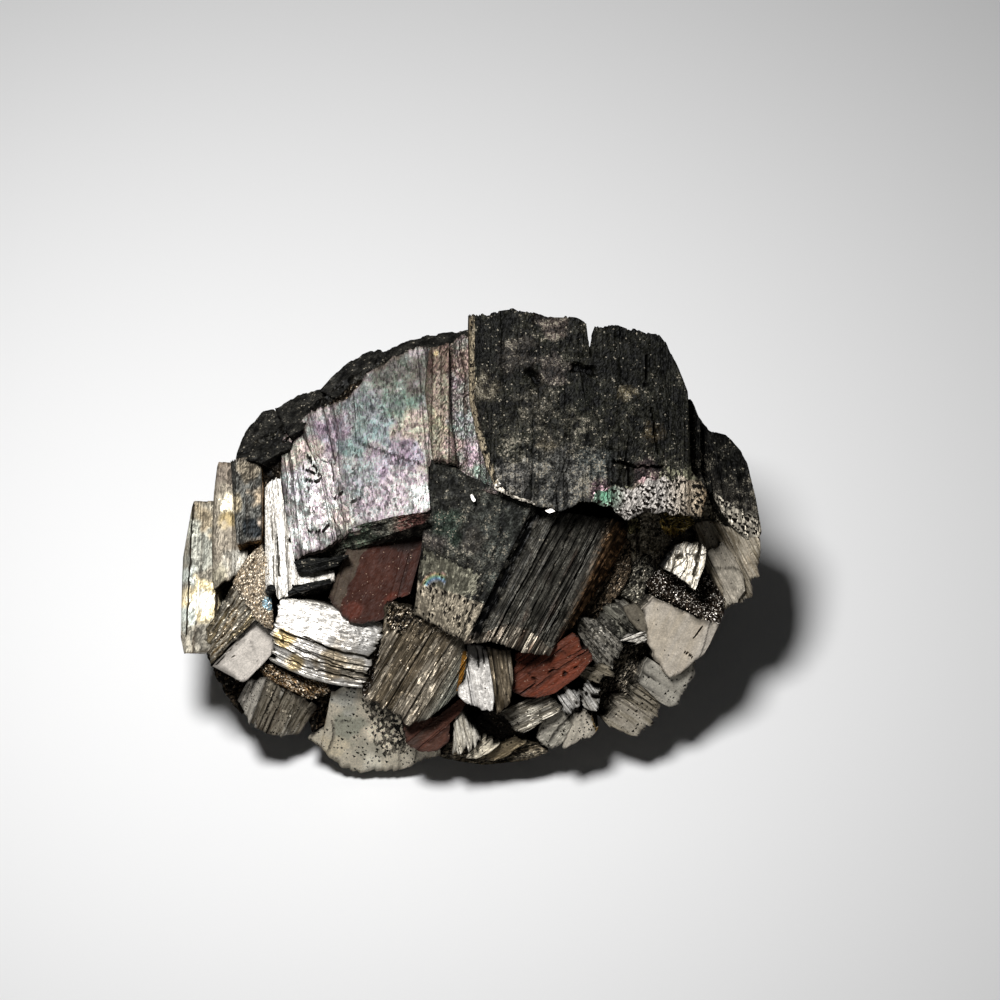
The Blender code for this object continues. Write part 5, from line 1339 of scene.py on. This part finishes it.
piece("pale_chips", [
    # the grey chip on the lower rim
    slab([(8.6, -15.8), (10.9, -16.3), (10.8, -18.4), (9.8, -19.6), (7.9, -20.3), (7.1, -19.9),
          (6.6, -19.2), (7.0, -17.8), (7.9, -16.9)],
         bearing=60, height=2.4, lean=(0.1, 0.1), root=(0, 2, -7), seed=107,
         tint=((0.56, 0.52, 0.44), (0.44, 0.41, 0.34)), grit=0.03, fray=0.15, relief=((2.0, 4.0, 0.03),)),
    # the beige chip that overlaps it
    slab([(10.5, -16.6), (11.5, -16.5), (12.2, -17.2), (12.3, -17.6), (12.8, -18.3), (12.2, -19.0),
          (11.0, -19.3), (10.6, -19.7), (9.4, -20.2), (9.2, -19.9), (9.9, -19.2), (9.9, -18.4),
          (10.2, -18.1), (10.0, -17.2)],
         bearing=60, height=3.1, lean=(-0.1, 0.1), root=(0, 2, -7), seed=108,
         grit=0.006, relief=((2.0, 4.0, 0.03),), tint=gilded_corner),
    # the grey block under the clean pale face
    slab([(17.7, -11.1), (19.8, -13.2), (20.9, -12.7), (22.4, -11.5), (22.5, -12.8), (21.7, -13.7),
          (20.9, -15.8), (19.7, -16.1), (18.8, -15.6), (16.8, -13.7), (17.3, -12.4)],
         bearing=145, height=2.2, lean=(-0.1, 0.15), root=(-2, 1, -9), seed=110,
         tint=((0.66, 0.62, 0.53), (0.56, 0.52, 0.44)), relief=((0.9, 4.0, 0.05),), strong=block_relief),
    # the block of thin pages below that
    slab([(14.3, -15.6), (13.1, -17.3), (13.8, -18.1), (17.0, -19.3), (18.2, -17.3), (18.8, -17.1),
          (19.4, -16.3), (18.8, -15.6), (16.8, -13.7), (15.6, -15.1)],
         bearing=145, height=2.1, lean=(0.0, 0.12), root=(-2, 2, -9), seed=111,
         tint=((0.54, 0.48, 0.38), (0.30, 0.26, 0.19), (0.60, 0.54, 0.44), (0.24, 0.20, 0.15)),
         relief=((0.7, 4.0, 0.07), (0.28, 3.0, 0.09)), fray=0.3, pitch=0.08, strong=page_relief),
    # a smooth brown facet beside the clean pale face
    slab([(15.2, -6.2), (16.2, -5.6), (17.1, -6.3), (17.7, -7.6), (17.5, -8.8), (16.6, -8.4),
          (15.8, -7.4)],
         bearing=130, height=3.0, lean=(0.1, 0.05), root=(0, 0, -6), seed=114,
         tint=((0.25, 0.22, 0.17), (0.20, 0.175, 0.13)), grit=0.01),
    # the ragged chip at the tip of the red crescent
    slab([(10.8, -12.9), (11.4, -12.0), (12.2, -12.2), (12.9, -11.6), (13.9, -12.1), (14.2, -13.0),
          (13.4, -13.1), (13.0, -13.8), (12.2, -13.3), (11.6, -13.7)],
         bearing=160, height=2.6, lean=(0.0, -0.05), root=(0, 0, -7), seed=115,
         tint=((0.50, 0.44, 0.34), (0.20, 0.17, 0.12), (0.44, 0.39, 0.30)), relief=((0.35, 1.5, 0.12),),
         fray=0.3, pitch=0.06),
    # the brown flake at the very bottom
    slab([(0.8, -21.3), (1.9, -20.5), (3.2, -19.7), (4.7, -19.2), (5.5, -19.7), (4.4, -20.3),
          (3.9, -21.0), (2.4, -21.5)],
         bearing=30, height=2.4, lean=(0.0, 0.1), root=(0, 3, -6), seed=116,
         tint=((0.32, 0.26, 0.17), (0.22, 0.17, 0.10)), grit=0.02, pitch=0.08),
], pitted)

# ---- clean pale face -------------------------------------------------------------------------
# The one broad, smooth and clean crystal face at the lower right, with two small pits near its
# right corner.

piece("clean_pale_face", [
    slab([(18.25, -5.2), (17.1, -6.35), (17.7, -8.3), (17.5, -9.6), (18.3, -11.1), (19.8, -13.3),
          (20.9, -12.8), (22.4, -11.5), (23.3, -10.9), (24.3, -9.0), (24.8, -7.95), (23.1, -7.4),
          (21.3, -6.6), (20.0, -5.9)],
         bearing=65, height=3.1, lean=(-0.02, 0.08), root=(-2, 1, -9), seed=109,
         tint=((0.62, 0.56, 0.48), (0.60, 0.52, 0.41)), grit=0.006, relief=((3.0, 5.0, 0.02),),
         gashes=((22.3, -9.2, 23.0, -8.2, 0.05), (21.4, -10.6, 22.2, -11.2, 0.05))),
], smooth_ore)

# ---- gold ledges -----------------------------------------------------------------------------
# Two small ledges of grainy ore under the great crystal's bare corner, filmed gold-brown. They
# are broken edges of the ground behind them.

piece("gold_ledges", [
    # under the great crystal's bare corner
    slab([(19.3, 3.3), (21.6, 3.9), (22.5, 2.3), (21.4, 1.5), (19.6, 2.0)],
         bearing=30, height=4.6, lean=(0.0, -0.3), root=(-1, 1, -7), seed=112,
         tint=((0.95, 0.68, 0.18), (0.40, 0.30, 0.10)), cover=-0.3, grit=0.08),
    # a smaller one to its left
    slab([(15.5, 2.6), (16.8, 2.9), (17.0, 1.3), (15.9, 1.0)],
         bearing=60, height=4.4, lean=(0.0, -0.3), root=(-1, 1, -7), seed=113,
         tint=((0.36, 0.32, 0.16), (0.2, 0.17, 0.10)), cover=-0.1, grit=0.06),
], granular)

# ---- dark ground -----------------------------------------------------------------------------
# Grainy black ore between the crystals: the floor, slope and ridge of the deep cavity at the
# right, and the beds that the crystals grew from. All of it is one with the matrix.

def cavity_tint(u, v):
    """Brown-grey, gilded round one spot."""
    gilded_spot = (np.hypot(u - 20.4, v - 2.3) < 1.4)[..., None]
    return np.where(gilded_spot, (1.0, 0.74, 0.24), (0.46, 0.41, 0.31))


piece("dark_ground", [
    # the floor of the cavity, gilded at one spot
    slab([(14.5, 4.5), (19.0, 5.0), (25.0, 5.0), (25.5, 0.0), (24.0, -4.0), (19.0, -6.5), (14.5, -8.5),
          (12.5, -3.0)],
         bearing=90, height=-0.4, lean=(0.0, 0.1), root=(-2, 0, -8), seed=121,
         grit=0.12, pitch=0.16, step=0.25, tint=cavity_tint, cover=-0.35),
    # the slope beside the stepped side
    slab([(15.2, 1.5), (16.2, 0.0), (16.0, -3.0), (15.2, -4.7), (13.5, -6.3), (11.0, -7.6),
          (12.5, -3.0)],
         bearing=60, height=0.3, lean=(-0.2, 0.0), root=(0, 0, -6), seed=122,
         tint=(0.20, 0.15, 0.10), cover=-0.2, grit=0.08, pitch=0.16, step=0.25),
    # the ridge across the cavity
    slab([(15.8, 0.0), (18.0, -1.0), (18.6, -2.5), (17.6, -4.0), (17.1, -6.4), (15.1, -5.0)],
         bearing=60, height=-0.2, lean=(0.1, -0.1), root=(0, 0, -6), seed=123,
         tint=(0.26, 0.24, 0.19), cover=-0.1, grit=0.08, pitch=0.16, step=0.25),
    # the dark hollow over the block of thin pages
    slab([(12.5, -12.5), (14.5, -10.0), (17.5, -9.5), (18.0, -11.5), (17.0, -14.0), (15.0, -15.5),
          (12.8, -17.0)],
         bearing=60, height=0.0, lean=(0.1, 0.0), root=(-1, 1, -7), seed=125,
         tint=(0.30, 0.26, 0.20), cover=0.0, grit=0.10, pitch=0.16, step=0.25),
    # the bed under the middle
    slab([(-21.5, 8.0), (-12.0, 16.0), (-3.0, 19.0), (10.0, 19.0), (20.0, 13.0), (20.5, 4.5),
          (13.5, 3.0), (11.5, -4.0), (13.5, -9.0), (13.0, -14.0), (8.0, -17.0), (0.0, -18.5),
          (-7.0, -18.0), (-13.0, -16.0), (-20.5, -14.5), (-22.0, -8.0)],
         bearing=90, height=0.5, lean=(0.0, 0.03), root=(0, 0, -9), seed=126,
         tint=BROWN, cover=0.4, grit=0.12, pitch=0.4, step=0.5),
    # the bed behind the peacock crystal
    slab([(-22.5, 8.6), (-21.5, 10.6), (-17.5, 12.6), (-12.0, 16.9), (-7.0, 19.2), (0.5, 20.6),
          (0.5, 14.0), (-8.0, 12.0), (-15.5, 9.0), (-20.5, 8.0)],
         bearing=90, height=0.4, lean=(0.15, -0.3), root=(2, -4, -9), seed=127,
         tint=BROWN, cover=4.0, grit=0.12, pitch=0.4, step=0.5),
    # the bed under the end plates
    slab([(-23.6, 8.9), (-18.5, 9.5), (-17.0, -4.0), (-20.0, -10.0), (-24.5, -8.5), (-25.0, -2.0)],
         bearing=90, height=0.2, lean=(0.2, -0.1), root=(2, 0, -8), seed=128,
         tint=BROWN, cover=0.4, grit=0.12, pitch=0.4, step=0.5),
    # the bed under the layered block and the pale crystal
    slab([(-21.5, -11.0), (-14.0, -12.0), (-9.0, -12.5), (-8.0, -17.0), (-13.5, -15.5), (-17.5, -15.0),
          (-21.0, -14.2)],
         bearing=60, height=1.3, lean=(0.0, 0.15), root=(2, 2, -8), seed=129,
         tint=BROWN, cover=0.2, grit=0.1, pitch=0.16, step=0.25),
], granular)

# ---- bright crystal --------------------------------------------------------------------------
# A small jagged crystal of silver-white metal that grew up from the floor of the deep cavity at the
# right.

piece("bright_crystal", [
    slab([(19.3, -2.3), (20.1, -1.0), (20.6, 0.2), (21.3, 0.5), (22.0, 0.3), (23.1, 0.2), (23.5, -0.4),
          (23.4, -1.9), (22.7, -3.5), (22.4, -4.5), (21.5, -3.7)],
         bearing=78, height=3.1, lean=(0.17, -0.33), root=(-1, 0.5, -5), seed=96,
         tint=((0.86, 0.83, 0.76), (0.44, 0.39, 0.31), (0.86, 0.84, 0.8)),
         relief=((1.2, 1.6, 0.20), (0.4, 1.0, 0.05)),
         gashes=((22.9, 0.3, 22.3, -2.8, 0.10), (20.8, -1.0, 20.8, -1.0, 0.2)), deep=0.5),
], bright)

# ---- glitter bed -----------------------------------------------------------------------------
# A sloping bed of broken black ore at the foot of the cavity. Its grains catch the light as a
# crowd of bright sparks.

piece("glitter_bed", [
    slab([(17.5, -3.8), (18.7, -2.5), (21.0, -2.6), (23.4, -2.2), (24.9, -3.0), (25.3, -4.7),
          (25.3, -6.7), (24.9, -8.1), (23.0, -7.3), (19.5, -5.5), (18.0, -4.9)],
         bearing=150, height=1.1, lean=(0.0, -0.35), root=(0, 0, -7), seed=124,
         tint=(0.035, 0.025, 0.018), grit=0.12),
], sparkling)

# ---- rim lobes -------------------------------------------------------------------------------
# The soot-black tops of four crystals of the far side. They show as rounded lobes over the upper
# left edge.

piece("rim_lobes", [
    # from the left end up to the great crystal
    slab([(-22.9, 10.5), (-22.4, 11.6), (-20.8, 13.5), (-19.8, 13.8), (-18.5, 12.9), (-17.3, 11.5),
          (-17.8, 9.8), (-20.6, 8.2), (-23.5, 8.7)],
         bearing=60, height=-0.8, lean=(0.35, -1.1), root=(3, -3, -8), seed=131,
         cover=4.0, grit=0.04, wall_cover=4.0, pitch=0.2, step=0.3),
    slab([(-19.6, 13.7), (-17.0, 15.2), (-14.8, 15.6), (-12.6, 15.0), (-12.5, 13.8), (-15.5, 12.0),
          (-18.0, 10.8)],
         bearing=60, height=-0.7, lean=(0.35, -1.3), root=(3, -3, -8), seed=132,
         cover=4.0, grit=0.04, wall_cover=4.0, pitch=0.2, step=0.3),
    slab([(-15.2, 15.4), (-13.5, 17.3), (-12.0, 18.5), (-10.2, 19.5), (-9.2, 19.6), (-8.2, 19.1),
          (-9.6, 16.4), (-12.6, 14.2)],
         bearing=60, height=-2.0, lean=(0.35, -1.1), root=(3, -3, -8), seed=133,
         cover=4.0, grit=0.04, wall_cover=4.0, pitch=0.2, step=0.3),
    slab([(-8.8, 19.3), (-7.0, 20.2), (-4.5, 21.0), (-2.0, 21.4), (0.4, 21.7), (0.4, 19.2),
          (-5.0, 18.6), (-8.0, 17.6)],
         bearing=80, height=-1.0, lean=(0.1, -1.3), root=(3, -3, -8), seed=134,
         cover=4.0, grit=0.04, wall_cover=4.0, pitch=0.2, step=0.3),
], jet)

# ---- back crystals ---------------------------------------------------------------------------
# Chisel-ended blocks of ore that crowd the far side of the matrix, dark with soot, with growth
# ledges along their sides. Each is rooted deep in the lump.

BACK_ROOT = np.array((0.0, -1.6, 4.5))
CHISEL_LENGTH, CHISEL_WIDTH = 3.5, 0.45
BURIED = 9.0  # how far from the root a block starts, well inside the matrix
RING_GAP, END_RINGS = 0.6, 10
SIDE_POINTS = 24  # along each of its four sides
BACK_CRYSTALS = (  # bearing, rise, reach, width, height, twist: degrees and millimetres
    (8, 10, 27.0, 12.0, 12.0, 12), (32, 14, 27.5, 14.0, 14.0, -24), (62, 10, 24.5, 15.0, 13.0, 8),
    (88, 16, 23.0, 13.0, 15.0, -14), (112, 8, 22.5, 13.0, 12.0, 22), (138, 14, 23.5, 14.0, 14.0, -10),
    (160, 8, 25.0, 12.0, 11.0, 16), (178, 4, 25.5, 10.0, 8.0, -8), (50, 38, 25.0, 11.0, 10.0, 30),
    (75, 36, 23.5, 12.0, 9.0, -20), (104, 40, 21.5, 10.0, 9.0, 35), (128, 34, 22.0, 11.0, 8.0, -28),
    (152, 30, 22.0, 9.0, 8.0, 20))
BACK_SEED = 140


def back_crystal(bearing, rise, reach, width, height, twist, seed):
    """One block from the middle of the lump outward, with bulging ledges and a chisel end."""
    turn, lift, roll = np.radians((bearing, rise, twist))
    out = np.array((math.cos(turn) * math.cos(lift), math.sin(turn) * math.cos(lift), math.sin(lift)))
    level = np.cross(out, (0, 0, 1))
    level /= np.linalg.norm(level)
    steep = np.cross(level, out)
    wide = level * math.cos(roll) + steep * math.sin(roll)
    tall = steep * math.cos(roll) - level * math.sin(roll)
    corners = np.array(((-1.0, -1.0), (1.0, -1.05), (0.95, 1.0), (-0.9, 0.95), (-1.0, -1.0)))
    q = np.linspace(0, 4, 4 * SIDE_POINTS + 1)[:-1]
    ab = np.stack([np.interp(q, range(5), corners[:, i]) for i in (0, 1)], -1)
    flank = np.append(np.arange(BURIED, reach - 0.3, RING_GAP), reach)
    far = np.concatenate([flank, np.full(END_RINGS, reach)])
    inner = np.concatenate([np.ones(len(flank)), np.linspace(1, 0.02, END_RINGS)])
    spread_a = np.interp(far, (3, reach - CHISEL_LENGTH, reach), (1, 0.92, 0.85)) * inner
    spread_b = np.interp(far, (3, reach - CHISEL_LENGTH, reach), (0.8, 0.95, CHISEL_WIDTH)) * inner
    along, around = np.broadcast_arrays(far[:, None], q[None, :] * (width + height) / 4)
    bulge = blades(around, along, 1.1, 6.0, 0.35, seed) + blades(around, along, 0.4, 3.0, 0.12, seed + 1)
    bulge = bulge + blades(along, around, 1.6, 9.0, 0.30, seed + 2)
    bulge = (bulge - 0.45) * inner[:, None]
    offset_a = ab[:, 0] * (width / 2 * spread_a[:, None] + bulge)
    offset_b = ab[:, 1] * (height / 2 * spread_b[:, None] + bulge)
    tilt = (0.6 * ab[:, 0] - 0.4 * ab[:, 1]) * inner[:, None]
    rough = 0.12 * blades(offset_a, offset_b, 0.7, 2.0, 1.0, seed + 3) * (inner[:, None] < 1)
    points = (BACK_ROOT + out * (along + tilt + rough - 0.3)[..., None]
              + wide * offset_a[..., None] + tall * offset_b[..., None])
    rows, size = along.shape
    points = np.maximum(points.reshape(-1, 3), (-99, -99, 0.0))
    index = np.arange(rows * size).reshape(rows, size)
    following = np.roll(index, -1, axis=1)
    sides = np.stack([index[:-1], following[:-1], following[1:], index[1:]], -1)
    sides = np.delete(sides, len(flank) - 1, axis=0).reshape(-1, 4)
    ends = np.stack([index[-1]]), np.stack([index[0][::-1]])
    count = rows * size
    on_end = (np.arange(rows) >= len(flank))[:, None]
    grain = np.stack([np.where(on_end, offset_a, around), np.where(on_end, offset_b, along),
                      np.full(along.shape, seed * SEED_GRAIN)], -1).reshape(-1, 3)
    tints = np.ones((count, 4))
    tints[:, :3] = streaky(STREAKED, grain[:, 0], grain[:, 1], seed)
    # hollow: painted shade in the dips between the ledges
    return {"points": points, "faces": [sides, *ends], "grain": grain, "spot": points,
            "tint": tints, "cover": (drift(around * 0.2, along * 0.2, seed + 4) * 2 + 0.9).ravel(),
            "hollow": np.clip(-bulge - 0.45, 0, 0.8).ravel()}


for number, (first, last) in enumerate(((0, 5), (5, 8), (8, 13)), 1):
    piece(f"back_crystals_{number}",
          [back_crystal(*BACK_CRYSTALS[k], BACK_SEED + 10 * k) for k in range(first, last)], sooty)

# ---- table -----------------------------------------------------------------------------------
# A plain white table that the specimen lies on. It is no part of the specimen and only shows in
# the render.

bpy.ops.mesh.primitive_plane_add(size=4)
floor = bpy.context.object
floor.name = "floor"
paper = bpy.data.materials.new("white_table")
paper.use_nodes = True
paper.node_tree.nodes["Principled BSDF"].inputs["Base Color"].default_value = (0.84, 0.84, 0.84, 1)
paper.node_tree.nodes["Principled BSDF"].inputs["Roughness"].default_value = 0.8
floor.data.materials.append(paper)

# ---- lamps -----------------------------------------------------------------------------------
# One soft round lamp, high and a little to the left, with a large weak white card in front of the
# table that lifts the shadows. The room around them is nearly dark.

lamp_data = bpy.data.lights.new("soft_lamp", "AREA")
lamp_data.shape = "DISK"
lamp_data.size = 0.066
lamp_data.spread = math.radians(110)
lamp_data.energy = 0.187
lamp = bpy.data.objects.new("soft_lamp", lamp_data)
lamp.location = (-0.051, 0.011, 0.205)
lamp.rotation_euler = (Vector((-0.004, -0.006, 0.0)) - lamp.location).to_track_quat("-Z", "Y").to_euler()
bpy.context.scene.collection.objects.link(lamp)

card_data = bpy.data.lights.new("white_card", "AREA")
card_data.shape = "RECTANGLE"
card_data.size = 0.34
card_data.size_y = 0.20
card_data.energy = 0.06
card = bpy.data.objects.new("white_card", card_data)
card.location = (0.03, -0.40, 0.17)
card.rotation_euler = (Vector((0, 0, 0.015)) - card.location).to_track_quat("-Z", "Y").to_euler()
bpy.context.scene.collection.objects.link(card)

world = bpy.data.worlds.new("dim_room")
world.use_nodes = True
world.node_tree.nodes["Background"].inputs[0].default_value = (0.015, 0.015, 0.015, 1)
bpy.context.scene.world = world
bpy.context.scene.view_settings.view_transform = "Standard"

# ---- camera ----------------------------------------------------------------------------------
# A camera with a long lens that looks straight at the show face from half a metre away, so that the
# face is seen almost without perspective.

FRAME_WIDTH = 0.100  # metres across the show face
LENS, SENSOR = 200.0, 36.0
camera_data = bpy.data.cameras.new("camera")
camera_data.lens = LENS
camera_data.sensor_width = SENSOR
camera_data.clip_end = 10
camera = bpy.data.objects.new("camera", camera_data)
aim = Vector(SHIFT + TURN @ np.array((3.0, 4.5, 0.0))) * MM
outward = Vector(TURN @ np.array((0.0, 0.0, 1.0)))
camera.location = aim + outward * (FRAME_WIDTH * LENS / SENSOR)
camera.rotation_euler = (-outward).to_track_quat("-Z", "Y").to_euler()
bpy.context.scene.collection.objects.link(camera)
bpy.context.scene.camera = camera
